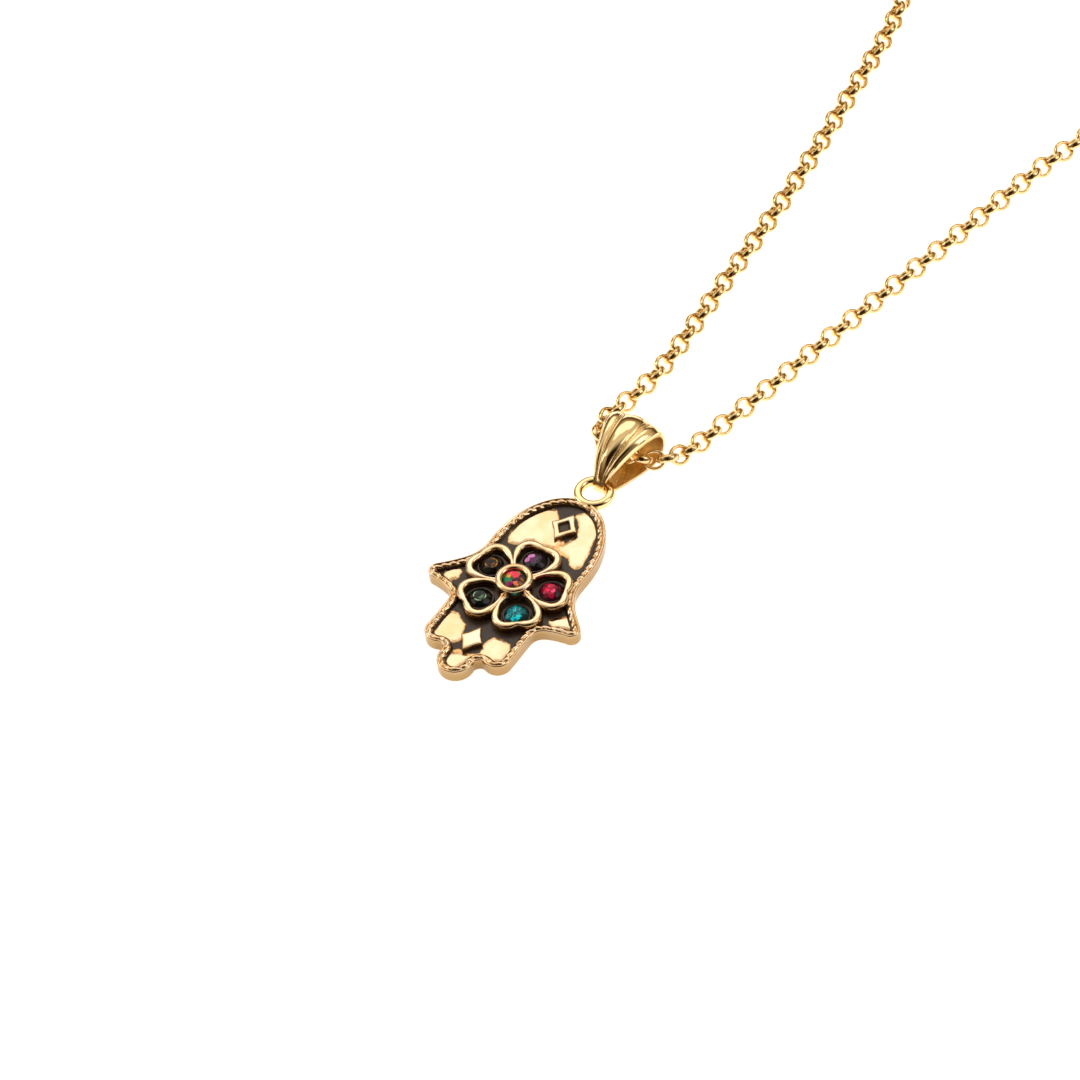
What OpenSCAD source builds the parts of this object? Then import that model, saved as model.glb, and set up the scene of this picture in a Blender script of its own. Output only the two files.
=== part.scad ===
// Hamsa pendant on a rolo chain, lying on its back. Millimetres.
// X runs across the hand, Y from the fingers to the bail, Z out of the front.
// The origin is on the flat back, under the centre of the flower.

/* [Hand plate] */
// Thickness of the cast plate, back to the top of its rim
plate_t = 1.6; // [1.4:0.05:2.2]
// Width across the dome of the palm
dome_w = 11.3; // [10.2:0.1:11.6]
// Height of the widest line of the dome above the flower centre
dome_y = 4.8; // [4.3:0.1:5.4]
// Rise of the dome above its widest line
dome_rise = 8.2; // [7.2:0.1:8.8]
// Straight side of the dome below its widest line
dome_side = 1.2; // [0.8:0.1:1.6]
// Width over the two thumbs
thumb_span = 17.9; // [17:0.1:18.4]
// Height of the thumb tips, below the flower centre
thumb_drop = 2; // [1.8:0.1:2.6]
// Radius of a thumb tip
thumb_r = 1; // [0.85:0.05:1.1]
// Narrowest place between thumb and fingers, below the thumb tips
crotch_drop = 2.1; // [1.9:0.05:2.3]
// How far the hand is drawn in there, from the width of the fingers
crotch_inset = 0.05; // [0:0.05:0.3]
// Size of the rounding in that corner
crotch_round = 0.4; // [0.3:0.05:0.5]
// Width across the three fingers
fingers_w = 10; // [9.6:0.1:10.4]
// Radius of the two side fingertips
side_tip_r = 1.55; // [1.4:0.05:1.7]
// Lowest point of the side fingertips, below the flower centre
side_tip_y = 10; // [9.6:0.1:10.5]
// Radius of the middle fingertip
mid_tip_r = 1.9; // [1.7:0.05:2.1]
// Lowest point of the middle fingertip, below the flower centre
mid_tip_y = 12.7; // [12.4:0.1:13.6]
// Radius of the valley between two fingertips
valley_r = 0.65; // [0.6:0.05:0.8]
// Width of the raised rim
rim_w = 0.95; // [0.75:0.05:1.1]
// Depth of the darkened ground below the rim
ground_depth = 0.5; // [0.35:0.05:0.7]
// Rounding of the back edge
back_round = 0.3; // [0.2:0.05:0.5]
// Rounding of the front edge, outside the rope
front_round = 0.2; // [0.1:0.05:0.25]

/* [Rope edge] */
// Distance from one rope bead to the next
rope_pitch = 0.86; // [0.7:0.02:1.1]
// Radius of a rope bead
rope_bead_r = 0.27; // [0.2:0.01:0.32]
// Distance of the rope's middle from the plate's edge
rope_inset = 0.6; // [0.5:0.02:0.7]
// How far the beads stand above the rim
rope_proud = 0.06; // [0.02:0.01:0.12]

/* [Hanging loop] */
// Height of the loop's centre above the flower centre
loop_y = 14.6; // [14.2:0.1:15]
// Outer diameter of the loop
loop_od = 4.3; // [4:0.1:4.5]
// Hole in the loop
loop_hole = 2.7; // [2.5:0.1:2.9]
// Thickness of the loop, front to back
loop_t = 1; // [0.9:0.05:1.1]

/* [Flower] */
// Radius on which the petal stones sit
petal_ring_r = 3.76; // [3.6:0.02:3.9]
// Radius of a petal lobe
lobe_r = 1.65; // [1.5:0.05:1.8]
// Distance of the lobe centres from the flower centre, along the petal
lobe_out = 4.15; // [4:0.05:4.35]
// Half the distance between a petal's two lobe centres
lobe_side = 0.95; // [0.8:0.05:1.05]
// Width of a petal's rim
petal_rim = 0.78; // [0.65:0.02:0.9]
// Height of the petal rims above the plate's rim
petal_rise = 0.5; // [0.2:0.05:0.6]
// Chamfer along the petal rims
petal_chamfer = 0.13; // [0.08:0.01:0.2]
// Height of the ground inside the petals, above the plate's ground
petal_ground = 0.1; // [0.05:0.01:0.2]
// Outer diameter of the centre bezel
bezel_od = 3.75; // [3.5:0.05:4]
// Height of the centre bezel above the plate's rim
bezel_rise = 1.35; // [0.9:0.05:1.5]

/* [Diamonds] */
// Height of the pierced diamond's centre above the flower centre
frame_diamond_y = 9.05; // [8.6:0.05:9.4]
// Width and height of the pierced diamond
frame_diamond = [3, 3.8]; // [2.6:0.1:4.2]
// Width and height of its opening
frame_opening = [1.4, 1.7]; // [1.2:0.1:2]
// Distance of the solid diamond's centre below the flower centre
solid_diamond_y = 7.9; // [7.6:0.05:8.2]
// Width and height of the solid diamond
solid_diamond = [2.55, 3.45]; // [2.2:0.05:3.6]

/* [Stones] */
// Diameter of a petal stone at its girdle
stone_d = 2.4; // [2.2:0.02:2.5]
// Diameter of the centre stone at its girdle
centre_stone_d = 2.6; // [2.4:0.02:2.7]
// Clear gap between a stone and its setting
stone_gap = 0.06; // [0.04:0.01:0.1]
// Height of the seat round a petal stone, above the petal's ground
seat_h = 0.35; // [0.25:0.05:0.4]
// Width of that seat's wall
seat_w = 0.22; // [0.16:0.02:0.3]
// Height of a stone's crown above its girdle
stone_crown = 0.42; // [0.34:0.02:0.5]
// Depth of a stone below its girdle
stone_depth = 0.62; // [0.5:0.02:0.7]
// Thickness of a stone's girdle
stone_girdle = 0.08; // [0.04:0.01:0.12]
// How far the centre stone's table lies below the bezel's top
table_sunk = 0.1; // [0:0.02:0.2]

/* [Bail] */
// Length of the bail from the loop to its top end
bail_len = 8.3; // [7.6:0.1:9]
// Width of the bail at its top end
bail_w = 5.9; // [5.2:0.1:6.4]
// Height of the bail at its top end, without its fluting
bail_h = 4.4; // [4.2:0.1:5]
// Thickness of the bail's sheet
bail_t = 0.45; // [0.4:0.05:0.5]
// Radius of the bow of its front
bail_bow_r = 7; // [6:0.5:9]
// How far the front arches up across its width
bail_arch = 0.45; // [0.2:0.05:0.6]
// Height of the flutes on the front
bail_flute = 0.3; // [0.1:0.05:0.4]
// Clear gap round the loop's wire
bail_gap = 0.21; // [0.18:0.01:0.26]

/* [Chain] */
// Outer diameter of a link
link_od = 2.54; // [2.5:0.02:2.6]
// Thickness of a link's wire, across the ring
link_wire = 0.4; // [0.34:0.01:0.4]
// Width of a link's wire, along the ring's axis
link_band = 0.5; // [0.44:0.02:0.56]
// Clear gap between two links
link_gap = 0.12; // [0.1:0.01:0.16]
// How much closer two links sit in a bend: the share for each turn of a radian a millimetre
bend_squeeze = 0.6; // [0.4:0.05:0.8]
// Clear gap between the chain and the bail's back leaf
chain_gap = 0.45; // [0.4:0.01:0.5]

/* [Clasp] */
// Diameter of the clasp's barrel
clasp_d = 2.4; // [2:0.1:2.6]
// Length of the clasp's barrel
clasp_len = 8; // [7:0.5:10]
// Hole of the eye at each end of the clasp
eye_hole = 1.8; // [1.7:0.05:2]
// Wire of the eye at each end of the clasp
eye_wire = 0.32; // [0.28:0.02:0.4]

/* [Hidden] */
GOLD = "#D9A94E";
eps = 0.01;

// Levels of the casting
ground_z = plate_t - ground_depth;
petal_top = plate_t + petal_rise;
bezel_top = plate_t + bezel_rise;
petal_floor = ground_z + petal_ground;
// How far a petal's flank runs past the border of its fifth, into the next petal
petal_merge = 0.03;
loop_wire = (loop_od - loop_hole) / 2;

// Directions of the petals, from the bail round to the left
PETALS = [90, 162, 234, 306, 18];

// Links of the chain
link_r = link_od / 2;
link_in = link_r - link_wire;
link_flat = (link_band - link_wire) / 2;
link_reach = sqrt(link_in * link_in - link_flat * link_flat);
link_tilt = 45;
link_half_h = (link_in + link_wire / 2 + link_flat) * sin(link_tilt) + link_wire / 2;
floor_gap = 0.01;
chain_z = link_half_h + floor_gap;

// Route of the chain's middle: across, along, share of the rise inside the bail.
// It starts at the clasp and comes back to it, by way of the bail.
ROUTE = [
    [2, 182, 0], [20, 177.5, 0], [34, 165, 0], [40.5, 148, 0], [38, 130, 0], [31, 113, 0],
    [24, 97, 0], [17.5, 81, 0], [13.6, 64, 0], [10.2, 48, 0], [7.7, 35.5, 0], [6.2, 28.5, 0],
    [5.5, 25.2, 0.1], [5, 23, 0.6], [4.2, 21.6, 1], [2.7, 20.6, 1], [0, 20.2, 1], [-2.7, 20.6, 1],
    [-4.1, 22.4, 0.7], [-4.3, 25.3, 0.1], [-3.7, 28.5, 0], [-3.4, 34, 0], [-4.2, 46, 0], [-5.2, 60, 0],
    [-7, 75, 0], [-9.5, 90, 0], [-16, 105, 0], [-25, 119, 0], [-33, 134, 0], [-36, 150.5, 0],
    [-30, 167, 0], [-17, 178, 0]];
ROUTE_STEPS = 12;

// Bail: circles that its side profile wraps, in [y, z]
wire_reach = max(loop_wire, loop_t) / 2;
bail_wire_y = loop_y + (loop_od + loop_hole) / 4;
bail_small_r = wire_reach + bail_gap + bail_t;
// The loop is flush with the rim, or higher where the bail's fold needs the room under it
loop_z = max(plate_t - loop_t / 2, bail_small_r);
bail_small = [bail_wire_y, loop_z];
bail_big_r = bail_h / 2;
bail_big = [bail_wire_y - bail_small_r + bail_len - bail_big_r, bail_big_r];
bail_y0 = bail_wire_y - bail_small_r;
// Bail outline: share of its length, share of its half width
BAIL_LEAF = [[0, 0.2], [0.04, 0.23], [0.11, 0.3], [0.21, 0.45], [0.39, 0.63], [0.57, 0.79],
    [0.75, 0.93], [0.91, 1], [1, 1]];
// Bail cross-section: share of the half width, share of the flute height
FLUTES = [[-1, 0], [-0.88, 0.5], [-0.72, 0.75], [-0.5, 0], [-0.36, 0.6], [0, 1],
    [0.36, 0.6], [0.5, 0], [0.72, 0.75], [0.88, 0.5], [1, 0]];
BAIL_INNER = [1, 0.5, 0, -0.5, -1];
// Share of the arch that the inside follows, and how fast the front's form rises from its two ends
INNER_ARCH = 0.8;
FORM_RISE = 2.5;

function dist(a, b) = norm(b - a);
function mix(a, b, t) = a + (b - a) * t;
function arc_points(c, r, a0, a1, n) =
    [for (i = [0:n]) c + r * [cos(mix(a0, a1, i / n)), sin(mix(a0, a1, i / n))]];
function bezier(a, b, c, d, n) = [for (i = [0:n]) let (t = i / n, u = 1 - t)
    a * u * u * u + b * 3 * u * u * t + c * 3 * u * t * t + d * t * t * t];
function heading(v) = atan2(v[1], v[0]);
function inner_points(p) = [for (i = [1:len(p) - 2]) p[i]];
// Point where circles (a, ra) and (b, rb) cross, to the left of the line from a to b
function crossing(a, ra, b, rb) =
    let (d = dist(a, b), k = (d * d + ra * ra - rb * rb) / (2 * d), u = (b - a) / d)
    a + u * k + [-u[1], u[0]] * sqrt(ra * ra - k * k);

// Right half of the hand's outline, from the top of the dome to the middle fingertip
side_tip = [fingers_w / 2 - side_tip_r, -side_tip_y + side_tip_r];
mid_tip = [0, -mid_tip_y + mid_tip_r];
valley = crossing(side_tip, side_tip_r + valley_r, mid_tip, mid_tip_r + valley_r);
thumb_c = [thumb_span / 2 - thumb_r, -thumb_drop];
crotch = [fingers_w / 2 - crotch_inset, thumb_c[1] - crotch_drop];
dome_end = [dome_w / 2, dome_y - dome_side];
HALF_HAND = concat(
    [for (i = [0:16]) let (a = i * 90 / 16) [dome_w / 2 * sin(a), dome_y + dome_rise * cos(a)]],
    bezier(dome_end, dome_end - [0, 1.33 * dome_side], thumb_c + thumb_r * [-1.85, 3.05],
        thumb_c + thumb_r * [cos(42), sin(42)], 10),
    arc_points(thumb_c, thumb_r, 30, -98, 8),
    bezier(thumb_c + thumb_r * [-1.05, -1.16], thumb_c + thumb_r * [-2.3, -1.47],
        crotch + crotch_round * [0.2, 0.9], crotch + crotch_round * [0.04, -1.8], 6),
    arc_points(side_tip, side_tip_r, 0, heading(valley - side_tip), 10),
    inner_points(arc_points(valley, valley_r, heading(side_tip - valley),
        (heading(mid_tip - valley) + 360) % 360, 6)),
    arc_points(mid_tip, mid_tip_r, heading(valley - mid_tip), -90, 9));
HAND = concat(HALF_HAND, [for (i = [len(HALF_HAND) - 2:-1:1]) [-HALF_HAND[i][0], HALF_HAND[i][1]]]);

module hand(inset) {
    offset(delta = -inset) polygon(HAND);
}

// Layer of the plate from one height to another
module slab(low, high, inset) {
    translate([0, 0, low]) linear_extrude(high - low) hand(inset);
}

// Closed path walked in equal steps, moved inwards by inset
function shrunk(path, inset) = let (n = len(path)) [for (i = [0:n - 1])
    let (t = path[(i + 1) % n] - path[(i + n - 1) % n]) path[i] + inset * [t[1], -t[0]] / norm(t)];
function lengths(path) = let (n = len(path))
    [for (i = 0, s = 0; i <= n; s = s + dist(path[i % n], path[(i + 1) % n]), i = i + 1) s];
function table(path, sums, k) = [for (i = [0:len(path)]) [sums[i], path[i % len(path)][k]]];
function along(tables, s) = [for (t = tables) lookup(s, t)];

module rope() {
    path = shrunk(HAND, rope_inset);
    sums = lengths(path);
    total = sums[len(path)];
    count = round(total / rope_pitch);
    tables = [table(path, sums, 0), table(path, sums, 1)];
    for (i = [0:count - 1])
        translate(concat(along(tables, i * total / count), plate_t - rope_bead_r + rope_proud))
            sphere(r = rope_bead_r, $fn = 16);
}

// One petal seen from the front, along +X: two lobes, and flanks along the borders of its fifth
module petal(inset) {
    lobe = lobe_r - inset;
    half = lobe_side + lobe;
    function flank(u) = [u, u * tan(180 / len(PETALS)) + petal_merge - inset * 0.55];
    side = [[lobe_out, half], [0.82 * lobe_out, half - 0.07 * lobe_r], flank(0.7 * lobe_out),
        flank(0.46 * lobe_out)];
    union() {
        for (s = [-1, 1]) translate([lobe_out, s * lobe_side]) circle(r = lobe, $fn = 40);
        polygon(concat(side, [for (i = [len(side) - 1:-1:0]) [side[i][0], -side[i][1]]]));
    }
}

module petals(inset) {
    for (a = PETALS) rotate(a) petal(inset);
}

module diamond(size) {
    polygon([[size[0] / 2, 0], [0, size[1] / 2], [-size[0] / 2, 0], [0, -size[1] / 2]]);
}

// Ring of a round-ended section, lying flat round the origin
module flat_ring(r_in, wire, height) {
    rotate_extrude($fn = 48) translate([r_in + wire / 2, 0]) {
        for (s = [-1, 1]) translate([0, s * (height - wire) / 2]) circle(d = wire, $fn = 24);
        square([wire, height - wire], center = true);
    }
}

stone_r = stone_d / 2;
cup_r = stone_r + stone_gap;
centre_r = centre_stone_d / 2;
stone_z = petal_floor + seat_h - stone_girdle / 2;
centre_z = bezel_top - stone_crown - table_sunk;

module hand_plate() {
    color(GOLD) difference() {
        union() {
            difference() {
                union() {
                    slab(0, plate_t / 2, back_round);
                    slab(back_round * 0.35, plate_t / 2, back_round * 0.4);
                    slab(back_round, plate_t - front_round, 0);
                    slab(plate_t / 2, plate_t - front_round * 0.35, front_round * 0.4);
                    slab(plate_t / 2, plate_t, front_round);
                }
                translate([0, 0, ground_z]) linear_extrude(plate_t) hand(rim_w);
            }
            rope();
            linear_extrude(petal_floor) petals(0);
            translate([0, 0, back_round]) linear_extrude(petal_top - petal_chamfer - back_round)
                difference() { petals(0); petals(petal_rim); }
            translate([0, 0, ground_z]) linear_extrude(petal_top - ground_z)
                difference() { petals(petal_chamfer); petals(petal_rim - petal_chamfer); }
            cylinder(r = bezel_od / 2, h = bezel_top, $fn = 48);
            for (a = PETALS) rotate(a) translate([petal_ring_r, 0, ground_z])
                cylinder(r = cup_r + seat_w, h = petal_floor + seat_h - ground_z, $fn = 40);
            translate([0, frame_diamond_y, ground_z - eps]) linear_extrude(ground_depth + eps)
                difference() { diamond(frame_diamond); diamond(frame_opening); }
            translate([0, -solid_diamond_y, ground_z - eps]) linear_extrude(ground_depth + eps)
                diamond(solid_diamond);
            translate([0, loop_y, loop_z]) flat_ring(loop_hole / 2, loop_wire, loop_t);
        }
        for (a = PETALS) rotate(a) translate([petal_ring_r, 0, stone_z - stone_depth - stone_gap])
            cylinder(r = cup_r, h = plate_t, $fn = 40);
        translate([0, 0, centre_z - stone_depth - stone_gap])
            cylinder(r = centre_r + stone_gap, h = bezel_top, $fn = 40);
    }
}

// Round brilliant: table, star, kite and girdle facets above, mains below
module brilliant(r, z) {
    table_r = r * 0.56;
    mid_r = r * 0.8;
    n = 8;
    step = 360 / n;
    function ring(rad, h, count, turn) =
        [for (i = [0:count - 1]) let (a = turn + i * 360 / count) [rad * cos(a), rad * sin(a), h]];
    points = concat(
        ring(table_r, stone_crown, n, step / 2),
        ring(mid_r, stone_crown * 0.62, n, 0),
        ring(r, stone_girdle / 2, 2 * n, 0),
        ring(r, -stone_girdle / 2, 2 * n, 0),
        ring(r * 0.45, -stone_depth * 0.72, n, 0),
        [[0, 0, -stone_depth]]);
    faces = concat(
        [[for (i = [n - 1:-1:0]) i]],
        [for (i = [0:n - 1]) [i, (i + 1) % n, n + (i + 1) % n]],
        [for (i = [0:n - 1]) [i, n + (i + 1) % n, 2 * n + (2 * i + 1)]],
        [for (i = [0:n - 1]) [i, 2 * n + (2 * i + 1), n + i]],
        [for (i = [0:n - 1]) [n + i, 2 * n + (2 * i + 1), 2 * n + 2 * i]],
        [for (i = [0:n - 1]) [n + (i + 1) % n, 2 * n + (2 * i + 2) % (2 * n), 2 * n + (2 * i + 1)]],
        [for (i = [0:2 * n - 1]) [2 * n + i, 2 * n + (i + 1) % (2 * n),
            4 * n + (i + 1) % (2 * n), 4 * n + i]],
        [for (i = [0:n - 1]) [4 * n + 2 * i, 4 * n + 2 * i + 1, 6 * n + i]],
        [for (i = [0:n - 1]) [4 * n + 2 * i + 1, 4 * n + (2 * i + 2) % (2 * n), 6 * n + (i + 1) % n]],
        [for (i = [0:n - 1]) [4 * n + 2 * i + 1, 6 * n + (i + 1) % n, 6 * n + i]],
        [for (i = [0:n - 1]) [6 * n + i, 6 * n + (i + 1) % n, 7 * n]]);
    translate([0, 0, z]) polyhedron(points, faces);
}

module petal_stone(i) {
    rotate(PETALS[i]) translate([petal_ring_r, 0, 0]) brilliant(stone_r, stone_z);
}

module stone_centre() { color("#E0607A") brilliant(centre_r, centre_z); }
module stone_top() { color("#8A4FA0") petal_stone(0); }
module stone_upper_left() { color("#5A3820") petal_stone(1); }
module stone_lower_left() { color("#22382C") petal_stone(2); }
module stone_lower_right() { color("#0A8F96") petal_stone(3); }
module stone_upper_right() { color("#C8144B") petal_stone(4); }

// Side profile of the bail as stations: [y, z, normal y, normal z, share of the front's form]
function station(c, r, a, form) = [c[0] + r * cos(a), c[1] + r * sin(a), cos(a), sin(a), form];
function profile() =
    let (bow = crossing(bail_big, bail_bow_r - bail_big_r, bail_small, bail_bow_r - bail_small_r),
        a0 = heading(bail_small - bow), a1 = heading(bail_big - bow),
        back = heading(bail_big - bail_small)
            - acos((bail_small_r - bail_big_r) / dist(bail_small, bail_big)))
    concat(
        [for (i = [0:11]) let (t = i / 11) station(bow, bail_bow_r, mix(a0, a1, t), min(1, t * FORM_RISE))],
        [for (i = [1:13]) let (t = i / 13)
            station(bail_big, bail_big_r, mix(a1, back, t), min(1, max(0, 1 - (t - 0.5) * FORM_RISE)))],
        [for (i = [1:6]) station(mix(bail_big, bail_small, i / 6), mix(bail_big_r, bail_small_r, i / 6),
            back, 0)],
        [for (i = [1:11]) station(bail_small, bail_small_r, mix(back, a0 - 360, i / 12), 0)]);

module bail() {
    rows = profile();
    ring_n = len(FLUTES) + len(BAIL_INNER);
    function half_width(y) = lookup((y - bail_y0) / bail_len, BAIL_LEAF) * bail_w / 2;
    function section(q) = let (w = half_width(q[0])) concat(
        [for (f = FLUTES) let (d = q[4] * (bail_arch * (1 - f[0] * f[0]) + bail_flute * f[1]))
            [f[0] * w, q[0] + q[2] * d, q[1] + q[3] * d]],
        [for (f = BAIL_INNER) let (d = q[4] * bail_arch * (1 - f * f) * INNER_ARCH - bail_t)
            [f * w, q[0] + q[2] * d, q[1] + q[3] * d]]);
    points = [for (q = rows) each section(q)];
    n = len(rows);
    faces = [for (i = [0:n - 1]) for (j = [0:ring_n - 1]) let (
            a = i * ring_n + j, b = i * ring_n + (j + 1) % ring_n,
            c = ((i + 1) % n) * ring_n + (j + 1) % ring_n, d = ((i + 1) % n) * ring_n + j)
        each [[a, c, b], [a, d, c]]];
    color(GOLD) polyhedron(points, faces);
}

function spline(p, i, t) = let (n = len(p), a = p[(i + n - 1) % n], b = p[i], c = p[(i + 1) % n],
        d = p[(i + 2) % n])
    (b * 2 + (c - a) * t + (a * 2 - b * 5 + c * 4 - d) * t * t + (b * 3 - a - c * 3 + d) * t * t * t) / 2;
bail_lift = bail_t + chain_gap + link_half_h - chain_z;
function lifted(p) = [p[0], p[1], chain_z + bail_lift * max(0, p[2])];
ROUTE_PATH = [for (i = [0:len(ROUTE) - 1]) for (k = [0:ROUTE_STEPS - 1])
    lifted(spline(ROUTE, i, k / ROUTE_STEPS))];
// Turn of the path at its point i, in radians for each millimetre
function turn_at(p, i) = let (n = len(p), a = p[i] - p[(i + n - 1) % n], b = p[(i + 1) % n] - p[i])
    acos(min(1, a * b / (norm(a) * norm(b)))) * PI / 90 / (norm(a) + norm(b));
// Distances along the path, where a bend counts as longer, because links sit closer together in it
ROUTE_SUMS = [for (i = 0, s = 0; i <= len(ROUTE_PATH);
    s = s + dist(ROUTE_PATH[i % len(ROUTE_PATH)], ROUTE_PATH[(i + 1) % len(ROUTE_PATH)])
        * (1 + bend_squeeze * turn_at(ROUTE_PATH, i % len(ROUTE_PATH))), i = i + 1) s];
ROUTE_TABLES = [for (k = [0:2]) table(ROUTE_PATH, ROUTE_SUMS, k)];
route_len = ROUTE_SUMS[len(ROUTE_PATH)];
function on_route(s) = along(ROUTE_TABLES, (s + route_len) % route_len);

eye_in = eye_hole / 2;
eye_reach = clasp_len / 2 + eye_in;
first_link = eye_reach + sqrt(eye_in * eye_in - link_flat * link_flat) + link_in - link_gap;
link_count = 1 + ceil((route_len - 2 * first_link) / (2 * link_reach - link_gap));
link_pitch = (route_len - 2 * first_link) / (link_count - 1);
function tilt_of(i) = i % 2 == 0 ? link_tilt : -link_tilt;

// Puts its children at p, with their X along v, turned about X
module place(p, v, turn) {
    translate(p) rotate([0, -atan2(v[2], norm([v[0], v[1]])), heading(v)]) rotate([turn, 0, 0]) children();
}

module chain() {
    color(GOLD) for (i = [0:link_count - 1]) {
        s = first_link + i * link_pitch;
        place(on_route(s), on_route(s + link_pitch / 2) - on_route(s - link_pitch / 2), tilt_of(i))
            flat_ring(link_in, link_wire, link_band);
    }
}

module eye() {
    rotate_extrude($fn = 40) translate([eye_in + eye_wire / 2, 0]) circle(d = eye_wire, $fn = 20);
}

module clasp() {
    a = on_route(eye_reach);
    b = on_route(-eye_reach);
    eye_half_h = (eye_in + eye_wire / 2) * sin(link_tilt) + eye_wire / 2;
    eye_lift = [0, 0, max(0, eye_half_h + floor_gap - chain_z)];
    barrel_lift = [0, 0, clasp_d / 2 + floor_gap - chain_z];
    color(GOLD) {
        place((a + b) / 2 + barrel_lift, a - b, 0) rotate([0, 90, 0])
            cylinder(d = clasp_d, h = dist(a, b) - 2 * eye_in, center = true, $fn = 40);
        place(a + eye_lift, a - b, -tilt_of(0)) eye();
        place(b + eye_lift, a - b, -tilt_of(link_count - 1)) eye();
    }
}

hand_plate();
stone_centre();
stone_top();
stone_upper_left();
stone_lower_left();
stone_lower_right();
stone_upper_right();
bail();
chain();
clasp();
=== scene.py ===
"""Looks of a hamsa pendant on a rolo chain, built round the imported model, which gives every place and size."""
import logging
from dataclasses import dataclass, field
from enum import Enum
from functools import reduce

import bpy
import numpy as np
from bpy.types import ID, Material, Node, NodeSocket, NodeTree, Object, World
from mathutils import Matrix


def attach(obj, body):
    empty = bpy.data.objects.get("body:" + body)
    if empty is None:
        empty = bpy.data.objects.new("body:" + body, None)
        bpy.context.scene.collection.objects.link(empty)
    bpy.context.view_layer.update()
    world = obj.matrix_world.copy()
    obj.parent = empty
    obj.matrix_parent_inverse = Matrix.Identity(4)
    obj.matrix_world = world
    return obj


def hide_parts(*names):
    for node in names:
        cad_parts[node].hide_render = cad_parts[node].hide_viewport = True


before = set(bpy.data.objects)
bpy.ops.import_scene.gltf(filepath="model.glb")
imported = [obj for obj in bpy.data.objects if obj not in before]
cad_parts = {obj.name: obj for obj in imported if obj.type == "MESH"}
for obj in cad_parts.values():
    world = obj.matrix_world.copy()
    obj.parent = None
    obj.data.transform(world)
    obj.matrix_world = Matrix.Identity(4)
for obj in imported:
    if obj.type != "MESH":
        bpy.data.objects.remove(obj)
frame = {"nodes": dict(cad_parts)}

log = logging.getLogger("hamsa_pendant")

Array = np.ndarray
Pair = tuple[float, float]
Pairs = tuple[Pair, ...]
Point = tuple[float, float, float]
RGBA = tuple[float, float, float, float]
Stops = tuple[tuple[float, str], ...]

MM = 0.001
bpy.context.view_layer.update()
# Range that most values of a noise texture lie in
NOISE = (0.3, 0.7)


class Slot(Enum):
    """Names of two gold finishes, passed along with the added pieces."""

    CAST = "cast_gold"
    POLISHED = "polished_gold"


class Petal(Enum):
    """Directions of the five petals, in degrees from +X."""

    TOP = 90
    UPPER_LEFT = 162
    LOWER_LEFT = 234
    LOWER_RIGHT = 306
    UPPER_RIGHT = 18


def linear(hex_colour: str) -> RGBA:
    """Turns an sRGB hex colour into linear light.

    Args:
        hex_colour: Colour as "#RRGGBB".

    Returns:
        Red, green, blue and an alpha of one.
    """
    share = np.array([int(hex_colour[i:i + 2], 16) for i in (1, 3, 5)]) / 255
    light = np.where(share <= 0.04045, share / 12.92, ((share + 0.055) / 1.055) ** 2.4)
    return (*(float(v) for v in light), 1.0)


def add_node(tree: NodeTree, kind: str, inputs: dict | None = None, **settings: object) -> Node:
    """Adds a node, with its settings and what goes into it.

    Args:
        tree: Tree that gets the node.
        kind: Type of the node, without "ShaderNode".
        inputs: For each input's name or number, a value or the socket that feeds it.
        settings: Properties of the node itself.

    Returns:
        The new node.
    """
    node = tree.nodes.new("ShaderNode" + kind)
    for key, value in settings.items():
        setattr(node, key, value)
    for key, value in (inputs or {}).items():
        if isinstance(value, NodeSocket):
            tree.links.new(value, node.inputs[key])
        else:
            node.inputs[key].default_value = value
    return node


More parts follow.
